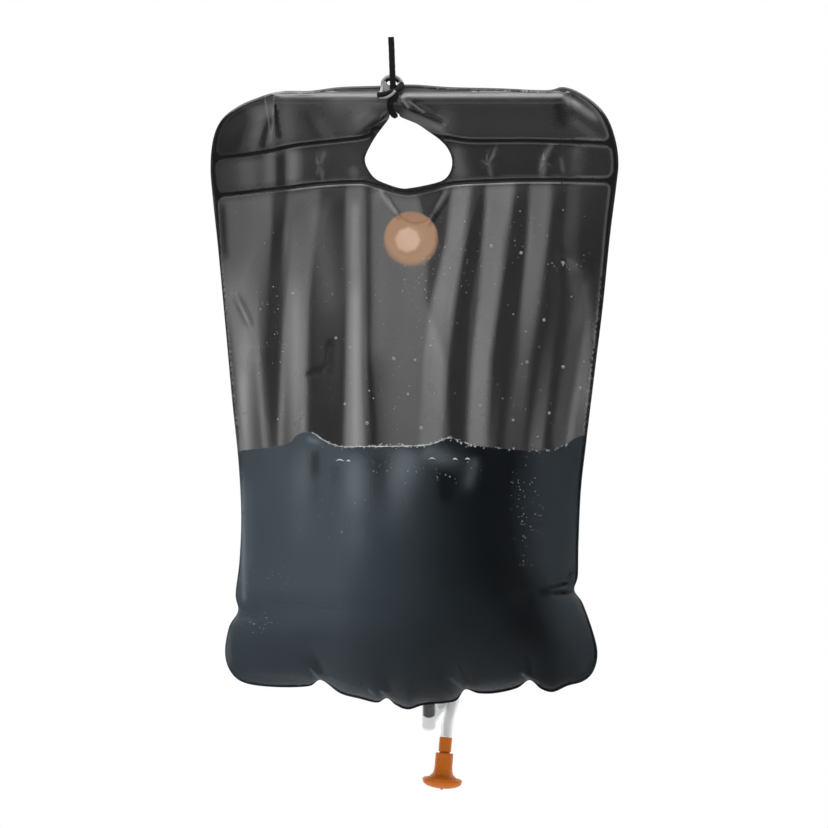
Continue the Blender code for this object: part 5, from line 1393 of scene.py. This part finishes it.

# %% Write down the strokes of the wet film
# the same for the wet part: painted highlights along the water line, the left edge and the foot
WET_PAINTED_LIGHT = (
    ((-0.086, -0.412), (-0.088, -0.44), 0.011, 0.09),
    ((-0.087, -0.42), (-0.089, -0.48), 0.014, 0.06),
    ((-0.036, -0.42), (-0.036, -0.45), 0.011, 0.2),
    ((-0.036, -0.425), (-0.036, -0.495), 0.014, 0.13),
    ((0.016, -0.418), (0.012, -0.43), 0.015, 0.2),
    ((0.014, -0.42), (0.008, -0.455), 0.018, 0.12),
    ((0.035, -0.414), (0.048, -0.419), 0.009, 0.24),
    ((0.083, -0.422), (0.079, -0.44), 0.006, 0.16),
    ((-0.083, -0.402), (-0.076, -0.404), 0.0026, 0.34),
    ((-0.149, -0.425), (-0.147, -0.56), 0.0024, 0.34),
    ((-0.145, -0.44), (-0.144, -0.52), 0.006, 0.1),
    ((-0.164, -0.59), (-0.1635, -0.622), 0.004, 0.2),
    ((-0.15, -0.6375), (-0.085, -0.64), 0.0036, 0.06),
    ((-0.055, -0.647), (-0.018, -0.656), 0.0032, 0.05),
    ((0.004, -0.662), (0.03, -0.663), 0.0036, 0.03),
    ((0.085, -0.65), (0.125, -0.646), 0.0036, 0.06),
    ((-0.082, -0.63), (-0.0715, -0.6425), 0.0012, 0.22),
    ((-0.0105, -0.6535), (-0.0045, -0.6605), 0.0012, 0.16),
    ((0.058, -0.64), (0.0727, -0.6525), 0.0014, 0.12),
    ((0.13, -0.636), (0.1375, -0.6425), 0.0014, 0.22),
    ((-0.023, -0.651), (-0.019, -0.656), 0.0012, 0.1),
    ((0.1865, -0.48), (0.188, -0.53), 0.0016, 0.05),
    ((0.158, -0.5535), (0.174, -0.55), 0.0012, 0.12))
# painted shade of folds under the water line, beside the gathers and at the right-hand notch
WET_PAINTED_SHADE = (
    ((-0.0755, -0.414), (-0.0765, -0.43), 0.005, 0.55),
    ((-0.0765, -0.42), (-0.077, -0.455), 0.0065, 0.22),
    ((-0.054, -0.43), (-0.053, -0.44), 0.007, 0.24),
    ((-0.01, -0.42), (-0.008, -0.45), 0.009, 0.32),
    ((0.056, -0.428), (0.054, -0.45), 0.007, 0.22),
    ((-0.076, -0.622), (-0.066, -0.642), 0.003, 0.2),
    ((-0.004, -0.645), (0.0, -0.66), 0.003, 0.14),
    ((0.136, -0.63), (0.1405, -0.643), 0.0022, 0.4),
    ((0.15, -0.5545), (0.165, -0.553), 0.004, 0.3),
    ((0.161, -0.551), (0.175, -0.5465), 0.0011, 0.9),
    ((0.161, -0.557), (0.18, -0.555), 0.0011, 0.8),
    ((0.1775, -0.54), (0.1805, -0.5365), 0.0012, 0.8))


# where the painted shade of the water is darkest: heights, and how far across
DARK_CENTRE = ((-0.64, -0.603, -0.523, -0.463, -0.43), (0.16, 0.146, 0.11, 0.102, 0.108))


print("wet strokes:", len(WET_PAINTED_LIGHT) + len(WET_PAINTED_SHADE))

# %% Paint the haze, light and shade of the clear film
def haze_and_light_bands(plan):
    """Haze and painted light that the long folds carry on the flank that faces left."""
    x, z = plan[:, 0], plan[:, 1]
    total = np.full(len(plan), GAP_HAZE)
    for rows in HAZE_AND_LIGHT_BANDS:
        left, right, strength = (np.interp(z, BAND_HEIGHTS, values) for values in zip(*rows))
        rise = step(left - BAND_SOFT_LEFT, left + BAND_SOFT_LEFT, x)
        fall = 1 - step(right - BAND_SOFT_RIGHT, right + BAND_SOFT_RIGHT, x)
        total += (strength - GAP_HAZE) * rise * fall
    return total


def haze_and_light_values(plan, edge, depth):
    """How bright the dry film's haze and painted light and shade are, from 0 to 1."""
    x, z = plan[:, 0], plan[:, 1]
    lower = height_on(LOWER_WELD, x)
    upper = height_on(UPPER_WELD, x)
    # painted shade: the pocket and the band are darker to the right
    right = step(-0.03, 0.05, x)
    pocket = POCKET_HAZE - 0.05 * right + all_folds(plan, POCKET_STROKES)
    band = BAND_HAZE - 0.04 * right + all_folds(plan, BAND_STROKES)
    chamber = haze_and_light_bands(plan) + all_folds(plan, CHAMBER_STROKES)
    total = np.where(z > upper, pocket, np.where(z > lower, band, chamber))
    # painted highlights along the weld beads
    bead = hump(depth, 0.0008, 0.0006) * np.where(z < lower, BEAD_LIGHT_BELOW, BEAD_LIGHT_ABOVE)
    bead *= bead_share(x)
    bead += SIDE_BEAD_LIGHT * hump(depth, 0.0018, 0.0012) * step(0.18, 0.19, x) * (z > -0.3)
    corner = step(0, 0.01, depth)
    total = np.maximum(total, LEAST_HAZE) * (0.55 + 0.45 * corner) + bead
    # painted highlights on the film over the bar and on the margin outside the top weld
    over_bar = step(-0.0622, -0.0596, z) * window(x, -0.1125, 0.172, 0.002)
    over_bar *= step(0.003, 0.0042, edge) * (1 - 0.5 * hump(z, -0.057, 0.0016))
    total = np.maximum(total, BAR_LIGHT * over_bar)
    total += TOP_MARGIN_LIGHT * (1 - step(0.0014, 0.0022, edge)) * step(-0.085, -0.07, z)
    return np.clip(total / HAZE_AND_LIGHT_FULL, 0, 1)


print("haze between the bands", GAP_HAZE)

# %% Paint the valve and the water
def valve_values(plan):
    """Where the film lies on the orange disc, on its pale boss, and the painted shade of a crease
    across its top.
    """
    off = plan - VALVE
    reach = np.hypot(*off.T)
    low = step(0.012, -0.022, off[:, 1])
    disc = 1 - step(0.0266 - 0.0008 - 0.005 * low, 0.0278 + 0.0032 * low, reach)
    turned = [off + (0.0035, 0.0015)] * 8
    sides = [turned[k] @ (math.cos(math.pi * (k + 0.4) / 4), math.sin(math.pi * (k + 0.4) / 4))
             for k in range(8)]
    boss = 1 - step(0.0098, 0.0134, np.max(sides, axis=0))
    rise = off[:, 1] - (0.015 + 27.0 * (off[:, 0] - 0.0055) ** 2)
    crease = 0.7 * hump(rise, 0, 0.0011) + 0.3 * step(-0.0004, 0.001, rise)
    # painted shade down the disc's right side
    crease += 0.6 * step(0.0225, 0.0262, off[:, 0])
    return disc, boss, np.clip(crease, 0, 1)


def painted_water_shade_values(plan):
    """Painted shade of the water: 0 where it looks pale, 1 nearly black, with the folds' painted
    shade.
    """
    x, z = plan[:, 0], plan[:, 1]
    centre = np.interp(z, *DARK_CENTRE)
    low = step(-0.545, -0.635, z)
    across = np.clip((x + 0.05) / (centre + 0.05), 0, 1) ** 0.6
    side = np.clip((x - centre - 0.006) / 0.036, 0, 1)
    depth = across * (1 - 0.4 * low) * (1 - 0.46 * side) + 0.4 * low
    depth *= 1 - 0.15 * low * across
    return np.clip(depth + all_folds(plan, WET_PAINTED_SHADE), 0, 1)


print("painted: haze_and_light_values, valve_values, painted_water_shade_values")

# %% Make the clear film
height, edge, hole, depth = front_height(front_plan)
clear_film, used = film_object("clear_film", front_plan, height, front_tris, False,
                               film_finishes)
middle = front_plan[front_tris].mean(1)
is_wet = middle[:, 1] < height_on(WATER_LINE, middle[:, 0])
clear_film.data.polygons.foreach_set("material_index", np.where(is_wet, 2, 0))
near_valve, pale_centre, painted_crease_shade = valve_values(front_plan)
for name, values in (("weld", weld_values(front_plan, edge, hole, depth)),
                     ("haze_and_light", haze_and_light_values(front_plan, edge, depth)),
                     ("painted_water_shade", painted_water_shade_values(front_plan)), ("near_valve", near_valve),
                     ("pale_centre", pale_centre), ("painted_crease_shade", painted_crease_shade),
                     ("wet_painted_light", np.clip(all_folds(front_plan, WET_PAINTED_LIGHT), 0, 1))):
    set_values(clear_film, name, values[used])
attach(clear_film, "bag")
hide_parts("front_panel")
print("clear film:", len(used), "points")

# %% [markdown]
# ## The black film
# The back film is opaque black and shinier. It has the flat seats of the filler and the outlet,
# with their holes. It buckles along the same long folds as the front film, but the sharp single
# folds and the puckers are left to the front.

# %% Make the black film
BACK_SPACING = 0.0045
NECK_RADIUS = 0.0143
SPOUT_RADIUS = 0.0062
neck_hole = circle(*VALVE, NECK_RADIUS, 40)
spout_hole = circle(*OUTLET, SPOUT_RADIUS, 32, math.cos(OUTLET_TILT))


def glossy_black(name, roughness):
    """Black film: glossy, with faint drawn clouds in its shine and a few scuffs."""
    made, nodes, links, shader = new_finish(name, (0.012, 0.012, 0.013), roughness,
                                            Specular_IOR_Level=0.35)
    cloud = noise(nodes, links, 18.0, 5.0, (1.4, 1, 0.5))
    links.new(spread(nodes, links, cloud, roughness - 0.12, roughness + 0.16, 0.0, 1.0),
              shader.inputs["Roughness"])
    scuffs = noise(nodes, links, 140.0, 6.0)
    tint(nodes, links, shader, scuffs, (0.01, 0.01, 0.011), (0.024, 0.024, 0.025), 0.55, 0.75)
    bump(nodes, links, shader, noise(nodes, links, 320.0, 3.0), 0.00003)
    return made


black_film = glossy_black("black_film", 0.3)


def back_height(plan):
    """How far out the back film stands."""
    edge, hole = edges_of(plan)
    base = bulge(plan, edge, hole, True) + FILM
    lower = height_on(LOWER_WELD, plan[:, 0])
    relief = fold_relief(plan, True) * (plan[:, 1] < lower)
    relief *= step(WELD_WIDTH, WELD_WIDTH + 0.012, edge)
    relief += all_folds(plan, GATHERS) * step(WELD_WIDTH * 0.6, WELD_WIDTH + 0.004, edge) * 0.8
    depth, _ = weld_depth(plan, edge)
    return np.maximum(base + relief, FILM + GAP) + weld_beads(depth, hole)


back_plan, back_tris = plan_mesh([HOLE, neck_hole, spout_hole], BACK_SPACING)
height = back_height(back_plan)
back_film, used = film_object("black_film", back_plan, height, back_tris, True,
                              (black_film, black_film))
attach(back_film, "bag")
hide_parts("back_panel")
print("black film:", len(used), "points")

# %% [markdown]
# ## The water
# The water fills the lower chamber between the films. It is a closed mesh just clear of both, cut
# off at the water line. It lies mostly hidden, because the film over it carries its colour.

# %% Fill in the water
WATER_CLEARANCE = 0.0006
WATER_SPACING = 0.006
# the water stands back round the outlet's seat
OUTLET_CLEAR = 0.02
OUTLET_RECESS = 0.006


def water_finish():
    """Dark slate water, faintly clouded."""
    made, nodes, links, shader = new_finish("slate_water", (0.015, 0.02, 0.025), 0.4, IOR=1.1)
    cloud = noise(nodes, links, 12.0, 4.0)
    tint(nodes, links, shader, cloud, (0.012, 0.016, 0.02), (0.018, 0.024, 0.03))
    bump(nodes, links, shader, noise(nodes, links, 60.0, 3.0), 0.0006)
    return made


slate_water = water_finish()


def closed_between(name, plan, tris, low, high, finish):
    """A closed skin between two heights over the same triangles, walled at the free edges."""
    used, faces = used_by(tris, plan)
    half = len(used)
    edges = np.concatenate([faces[:, (0, 1)], faces[:, (1, 2)], faces[:, (2, 0)]])
    known = set(map(tuple, edges.tolist()))
    walls = [(a, b, b + half, a + half) for a, b in known if (b, a) not in known]
    front = np.stack([plan[:, 0], BAG_MID_Y - low, plan[:, 1]], axis=1)[used]
    rear = np.stack([plan[:, 0], BAG_MID_Y + high, plan[:, 1]], axis=1)[used]
    skins = faces.tolist() + (faces[:, ::-1] + half).tolist()
    return add_mesh(name, np.concatenate((front, rear)), skins + walls, finish, sharp=60)


water_plan, water_tris = plan_mesh([], WATER_SPACING)
edge, hole = edges_of(water_plan)
middle = water_plan[water_tris].mean(1)
level = height_on(WATER_LINE, middle[:, 0])
bed = edge[water_tris].min(1) > WELD_WIDTH * 0.9
wet_tris = water_tris[bed & (middle[:, 1] < level)]
front_skin = front_height(water_plan)[0] - FILM - WATER_CLEARANCE
rear_skin = back_height(water_plan) - FILM - WATER_CLEARANCE
rear_skin -= OUTLET_RECESS * (outlet_reach(water_plan) < OUTLET_CLEAR)
water = closed_between("water_body", water_plan, wet_tris, np.maximum(front_skin, GAP),
                       np.maximum(rear_skin, GAP), slate_water)
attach(water, "bag")
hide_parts("water_fill")
print("water:", len(wet_tris), "triangles a side")

# %% [markdown]
# ## Drops and foam
# On the real bag drops of water hang inside the dry film, each a dark lens with a bright rim, and
# foam gathers on the water line. The haze would hide them there, so they are small domes just off
# the film's outer face, with a painted highlight on each rim. A pale line along the water line is a
# painted highlight of its edge, and short pale curls under it are painted highlights too. Particles
# could scatter them, but here each cluster has its place, and a fixed seed keeps them the same in
# every render.

# %% Write down where drops hang
# the drops that stand out
LARGE_DROPS = (
    (-0.055, -0.301), (-0.041, -0.311), (0.003, -0.322), (0.017, -0.357), (-0.046, -0.367),
    (-0.024, -0.386), (0.04, -0.309), (0.024, -0.323), (0.03, -0.391), (0.153, -0.283),
    (0.136, -0.325), (0.172, -0.33), (0.189, -0.351), (0.158, -0.376), (0.122, -0.383),
    (0.089, -0.369), (0.13, -0.216), (0.1, -0.209), (0.172, -0.226), (-0.098, -0.257))
# clusters of small ones: place, reach, how many
DROP_CLUSTERS = (
    ((-0.121, -0.28), (0.026, 0.04), 26), ((0.022, -0.246), (0.03, 0.022), 20),
    ((0.056, -0.24), (0.04, 0.06), 46), ((0.181, -0.229), (0.024, 0.008), 12),
    ((0.02, -0.28), (0.19, 0.13), 130), ((-0.01, -0.36), (0.17, 0.05), 30),
    ((0.115, -0.2), (0.08, 0.04), 26), ((0.136, -0.468), (0.016, 0.06), 70),
    ((-0.112, -0.543), (0.018, 0.016), 12), ((-0.128, -0.588), (0.03, 0.014), 20),
    ((-0.06, -0.47), (0.05, 0.04), 18), ((0.03, -0.432), (0.06, 0.014), 40))
# foam along the water line: from, to, how many
FOAM = ((-0.078, -0.05, 16), (-0.05, 0.0, 46), (0.0, 0.085, 90), (0.085, 0.186, 30))
# short curls of film just under the water line, pale as a painted highlight: place, half length
CURLS = ((-0.051, -0.4226, 0.0042), (-0.0425, -0.4232, 0.002), (0.041, -0.421, 0.0034),
         (0.064, -0.4215, 0.0026), (0.0765, -0.4213, 0.0026))
DROP_RINGS = ((0.0, 0.1), (0.42, 0.12), (0.74, 0.42), (1.0, 0.0))
# how bright the painted highlight is on each ring of a drop
DROP_RIM_HIGHLIGHT = (0.0, 0.05, 1.0, 0.45)
DROP_SIDES = 10
DROP_LIFT = 0.00015
DROP_EDGE_CLEAR = 0.009
LARGE_DROP_SIZES = (0.00125, 0.00165)
SMALL_DROP, SMALL_DROP_MORE = 0.00032, 0.0004
FOAM_SIZES = (0.00035, 0.00075)
FOAM_SPREAD = 0.0009
# only drops larger than this have a dark lens
LENS_SIZE = 0.001


print("large drops:", len(LARGE_DROPS), "clusters:", len(DROP_CLUSTERS))

# %% Scatter the drops
def scatter_drops():
    """Places and sizes of all the drops and foam bubbles, and how pale each is, which sets its
    painted highlight.
    """
    chance = np.random.default_rng(11)
    places = [(x, z, chance.uniform(*LARGE_DROP_SIZES), 1.0) for x, z in LARGE_DROPS]
    for (x, z), (reach_x, reach_z), count in DROP_CLUSTERS:
        for _ in range(count):
            off = np.clip(chance.normal(size=2) * 0.5, -1, 1)
            size = SMALL_DROP + SMALL_DROP_MORE * chance.random() ** 3
            pale = chance.uniform(0.25, 0.9) if z > -0.42 else chance.uniform(0.15, 0.6)
            places.append((x + off[0] * reach_x, z + off[1] * reach_z, size, pale))
    for low, high, count in FOAM:
        for x in chance.uniform(low, high, count):
            z = height_on(WATER_LINE, x) + chance.normal() * FOAM_SPREAD
            places.append((x, z, chance.uniform(*FOAM_SIZES), chance.uniform(0.5, 1.0)))
    places = np.array(places)
    free = distance_to(places[:, :2], OUTLINE) > DROP_EDGE_CLEAR
    return places[free & inside(places[:, :2], OUTLINE)]


def wet_gloss(name, dark, pale):
    """Drops: dark where one looks through them, with a painted highlight on their rims."""
    made, nodes, links, shader = new_finish(name, pale, 0.25, Specular_IOR_Level=0.3)
    colour = blend_colours(nodes, links, painted_on(nodes, "rim"), dark, pale)
    links.new(colour, shader.inputs["Base Color"])
    return made


def make_drops():
    """One mesh of all the drops and bubbles, and how many there are."""
    places = scatter_drops()
    out = front_height(places[:, :2])[0]
    angle = np.arange(DROP_SIDES) * 2 * math.pi / DROP_SIDES
    verts, faces, rim = [], [], []
    for (x, z, size, pale), height in zip(places, out):
        first = len(verts)
        for (share, lift), shade in zip(DROP_RINGS[1:], DROP_RIM_HIGHLIGHT[1:]):
            for a in angle:
                verts.append((x + size * share * math.cos(a),
                              BAG_MID_Y - height - DROP_LIFT - size * lift,
                              z + size * share * math.sin(a)))
                rim.append(shade * pale if size > LENS_SIZE else pale)
        verts.append((x, BAG_MID_Y - height - DROP_LIFT - size * DROP_RINGS[0][1], z))
        rim.append(DROP_RIM_HIGHLIGHT[0] if size > LENS_SIZE else pale)
        faces += strip_faces(len(DROP_RINGS) - 1, DROP_SIDES, first)
        faces += [(len(verts) - 1, first + k, first + (k + 1) % DROP_SIDES)
                  for k in range(DROP_SIDES)]
    drops = add_mesh("drops_and_foam", verts, faces, drop_gloss)
    # the rims carry a painted highlight
    set_values(drops, "rim", rim)
    return drops, len(places)


def on_film(line):
    """A line of the plan laid on the outer face of the clear film."""
    line = np.array(line, dtype=float)
    out = front_height(line)[0]
    return np.stack([line[:, 0], BAG_MID_Y - out, line[:, 1]], axis=1)


print("rings of a drop:", len(DROP_RINGS))

# %% Lay the drops and the foam
drop_gloss = wet_gloss("drop_gloss", (0.01, 0.01, 0.011), (0.52, 0.53, 0.54))
foam_and_highlight_gloss = moulded("foam_and_highlight_gloss", (0.4, 0.42, 0.44), (0.6, 0.62, 0.64), 0.4)
drops, drop_count = make_drops()
pieces = [drops]
# a pale line on the film along the water line: the painted highlight of its edge
shore = WATER_LINE[(WATER_LINE[:, 0] > -0.079) & (WATER_LINE[:, 0] < 0.062)]
shore = on_film(smooth_line(shore, 3))
thick = np.random.default_rng(5).uniform(0.00008, 0.00048, len(shore))
pieces.append(solid_tube("meniscus_highlight_line", shore, thick, 8, foam_and_highlight_gloss))
for i, (x, z, half) in enumerate(CURLS):
    curl = smooth_line(((x - half, z - 0.0012), (x, z), (x + half, z - 0.0014)), 6)
    size = 0.0006 * np.sin(np.linspace(0.15, math.pi - 0.15, len(curl)))
    pieces.append(solid_tube(f"film_curl_highlight_{i + 1}", on_film(curl), size, 8, foam_and_highlight_gloss))
for piece in pieces:
    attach(piece, "bag")
print("drops:", drop_count)

# %% [markdown]
# ## The hook
# A grey plastic hook stands over the top edge. Its ring is round, its left leg is a broad web, and
# its lower loop closes under the lashing. It is a tube whose thickness changes along the way.

# %% Bend the hook
HOOK_TUBE = 0.0037
HOOK_THIN = 0.0027
HOOK_ROUTE = (
    (0.0104, 0.0052, -0.0452), (0.0088, 0.0053, -0.0428), (0.0065, 0.0055, -0.0409),
    (0.0036, 0.0057, -0.0397), (0.0005, 0.0057, -0.0393), (-0.003, 0.0057, -0.0398),
    (-0.006, 0.0056, -0.0415), (-0.008, 0.0055, -0.0443), (-0.0086, 0.005, -0.048),
    (-0.0088, 0.0036, -0.0515), (-0.0098, 0.0012, -0.055), (-0.0112, -0.0012, -0.058),
    (-0.0112, -0.004, -0.0602), (-0.0078, -0.0066, -0.0605), (-0.0042, -0.0083, -0.0602),
    (-0.0008, -0.01, -0.0588), (0.0024, -0.012, -0.0563), (0.004, -0.0132, -0.054))
# the broad web between the ring and the lower loop, seen from the front
WEB_OUTLINE = (
    (-0.0098, -0.044), (-0.008, -0.044), (-0.0062, -0.0448), (-0.0046, -0.0459),
    (-0.0028, -0.0474), (-0.0004, -0.0494), (0.0022, -0.0514), (0.001, -0.053),
    (-0.0024, -0.0544), (-0.006, -0.055), (-0.0098, -0.0556), (-0.0104, -0.0545),
    (-0.0098, -0.051), (-0.0102, -0.047))
WEB_FRONT, WEB_BACK = 0.0032, 0.006
grey_plastic = moulded("grey_plastic", (0.225, 0.225, 0.225), (0.275, 0.275, 0.275), 0.55,
                       Specular_IOR_Level=0.25)


def plate(name, outline, front, back, finish):
    """A flat plate cut to an outline, between two depths."""
    count = len(outline)
    verts = [(x, y, z) for y in (front, back) for x, z in outline]
    sides = [(k, (k + 1) % count, count + (k + 1) % count, count + k) for k in range(count)]
    faces = [tuple(range(count)), tuple(range(2 * count - 1, count - 1, -1))] + sides
    return add_mesh(name, verts, faces, finish, sharp=40)


hook_points, _ = even_points(HOOK_ROUTE, 110)
thin = step(0.55, 0.75, np.linspace(0, 1, len(hook_points)))
hook_radius = (HOOK_TUBE + (HOOK_THIN - HOOK_TUBE) * thin) / 2
hook = solid_tube("grey_hook", hook_points, hook_radius, 24, grey_plastic)
web = plate("hook_web", WEB_OUTLINE, WEB_FRONT, WEB_BACK, grey_plastic)
for piece in (hook, web):
    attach(piece, "bag")
    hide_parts("hook")
print("hook points", len(hook_points))

# %% [markdown]
# ## Finishes of the hard pieces
# The bar, the valve, the cap, the outlet and the spray head keep their exact CAD shapes. Each only
# needs a better material in place of the plain one that it came with. The strap is in this list
# too, though the next cell replaces it.

# %% Finish the hard pieces
orange = moulded("orange_plastic", (0.45, 0.105, 0.004), (0.52, 0.135, 0.008), 0.5,
                 Specular_IOR_Level=0.18)
valve_orange = moulded("valve_orange", (0.5, 0.24, 0.1), (0.56, 0.29, 0.14), 0.45)
pale_silicone = moulded("pale_silicone", (0.8, 0.52, 0.37), (0.86, 0.6, 0.45), 0.5,
                        Subsurface_Weight=0.1)
bar_plastic = moulded("bar_plastic", (0.03, 0.03, 0.03), (0.055, 0.055, 0.055), 0.4)
steel = moulded("steel_pin", (0.5, 0.5, 0.51), (0.6, 0.6, 0.61), 0.28, Metallic=1.0)
black_plastic = moulded("black_plastic", (0.01, 0.01, 0.011), (0.02, 0.02, 0.021), 0.33)
rubber = moulded("black_rubber", (0.014, 0.014, 0.014), (0.028, 0.028, 0.028), 0.7)
strap_film = glossy_black("strap_film", 0.34)


def elbow_finish():
    """Clear, faintly grey plastic that the spout inside it shows through."""
    made, nodes, links, shader = new_finish("elbow_vinyl", (0.12, 0.12, 0.13), 0.12, Alpha=0.14)
    links.new(spread(nodes, links, noise(nodes, links, 90.0, 2.0), 0.08, 0.16),
              shader.inputs["Roughness"])
    return made


elbow_vinyl = elbow_finish()

NODE_FINISHES = {
    "handle_bar": bar_plastic, "valve_flange": valve_orange, "flap_valve": pale_silicone,
    "flap_hinge_pin": steel, "fill_cap": orange, "cap_gasket": rubber, "tether_ring": orange,
    "tether_strap": orange, "outlet_spout": black_plastic, "outlet_elbow": elbow_vinyl,
    "hose_keeper": strap_film, "head_collar": orange, "stem_o_ring": rubber,
    "head_body": orange, "spray_plate": orange}


def finish_node(name, finish):
    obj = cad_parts[name]
    for slot in obj.material_slots:
        slot.material = finish
    if not obj.material_slots:
        obj.data.materials.append(finish)


for name, finish in NODE_FINISHES.items():
    finish_node(name, finish)
print("finished", len(NODE_FINISHES), "nodes")

# %% [markdown]
# ## The cap's strap
# The strap is soft on the real bag. As the cap is unscrewed, the strap's far end rises with the
# cap's ring while its loop stays round the neck. A rigid strap would be left behind. This is a
# copy of the CAD shape with the orange finish.


def make_bending_strap():
    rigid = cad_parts["tether_strap"]
    strap = placed("bending_strap", rigid.data.copy())
    strap.matrix_world = rigid.matrix_world.copy()
    strap.data.materials.clear()
    strap.data.materials.append(orange)
    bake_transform(strap)
    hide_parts("tether_strap")
    return strap


bending_strap = make_bending_strap()
print("strap points", len(bending_strap.data.vertices))

# %% [markdown]
# ## Floor, lights and backdrop
# The background is plain white, which the world gives to camera rays alone, so that it throws no
# extra light on the bag. Reflections see that white only behind the bag, as in a studio. Soft
# boxes from the left, the right, above and behind do the lighting, with a faint one in front.

# %% Set the stage
FLOOR_Z = -0.92
TARGET = (BAG_CENTRE_X, BAG_MID_Y, -0.36)
# each soft box: name, place, width and height, power
SOFT_BOXES = (
    ("left_box", (-1.75, -1.6, -0.05), (0.9, 2.2), 26),
    ("front_box", (0.0, -2.4, 0.75), (1.0, 0.6), 3),
    ("right_box", (2.1, -0.5, -0.3), (0.7, 1.6), 13),
    ("top_box", (0.0, -0.4, 1.4), (1.7, 1.5), 66),
    ("back_left_box", (-1.4, 1.8, 0.3), (0.8, 1.6), 34),
    ("back_right_box", (1.6, 1.5, 0.1), (0.6, 1.6), 24))


def make_floor():
    made = new_finish("pale_floor", (0.8, 0.8, 0.8), 0.8)[0]
    bm = bmesh.new()
    bmesh.ops.create_grid(bm, x_segments=4, y_segments=4, size=1.2)
    mesh = bpy.data.meshes.new("floor")
    bm.to_mesh(mesh)
    bm.free()
    mesh.materials.append(made)
    floor = placed("floor", mesh)
    floor.location = (BAG_CENTRE_X, BAG_MID_Y, FLOOR_Z)
    return floor


def soft_box(name, place, size, watts):
    """An area lamp that points at the bag."""
    data = bpy.data.lights.new(name, "AREA")
    data.shape = "RECTANGLE"
    data.size, data.size_y = size
    data.energy = watts
    lamp = placed(name, data)
    lamp.location = place
    lamp.rotation_euler = (Vector(TARGET) - Vector(place)).to_track_quat("-Z", "Y").to_euler()
    return lamp


def make_world():
    """White for the camera; for reflections white behind the bag and dim in front of it."""
    world = bpy.data.worlds.new("studio")
    bpy.context.scene.world = world
    world.use_nodes = True
    nodes, links = world.node_tree.nodes, world.node_tree.links
    background = nodes["Background"]
    path = nodes.new("ShaderNodeLightPath")
    place = nodes.new("ShaderNodeTexCoord")
    split = nodes.new("ShaderNodeSeparateXYZ")
    links.new(place.outputs["Generated"], split.inputs[0])
    behind = spread(nodes, links, split.outputs["Y"], 0.05, 1.0, -0.1, 0.5)
    seen = math_node(nodes, links, "MAXIMUM", path.outputs["Is Glossy Ray"],
                     path.outputs["Is Transmission Ray"])
    plain = blend_colours(nodes, links, seen, (0.15, 0.15, 0.15), behind)
    white = blend_colours(nodes, links, path.outputs["Is Camera Ray"], plain, (1, 1, 1))
    links.new(white, background.inputs["Color"])
    return world


print("soft boxes:", len(SOFT_BOXES))

# %% Light the bag
make_floor()
make_world()
for row in SOFT_BOXES:
    soft_box(*row)
bpy.context.scene.view_settings.view_transform = "Standard"
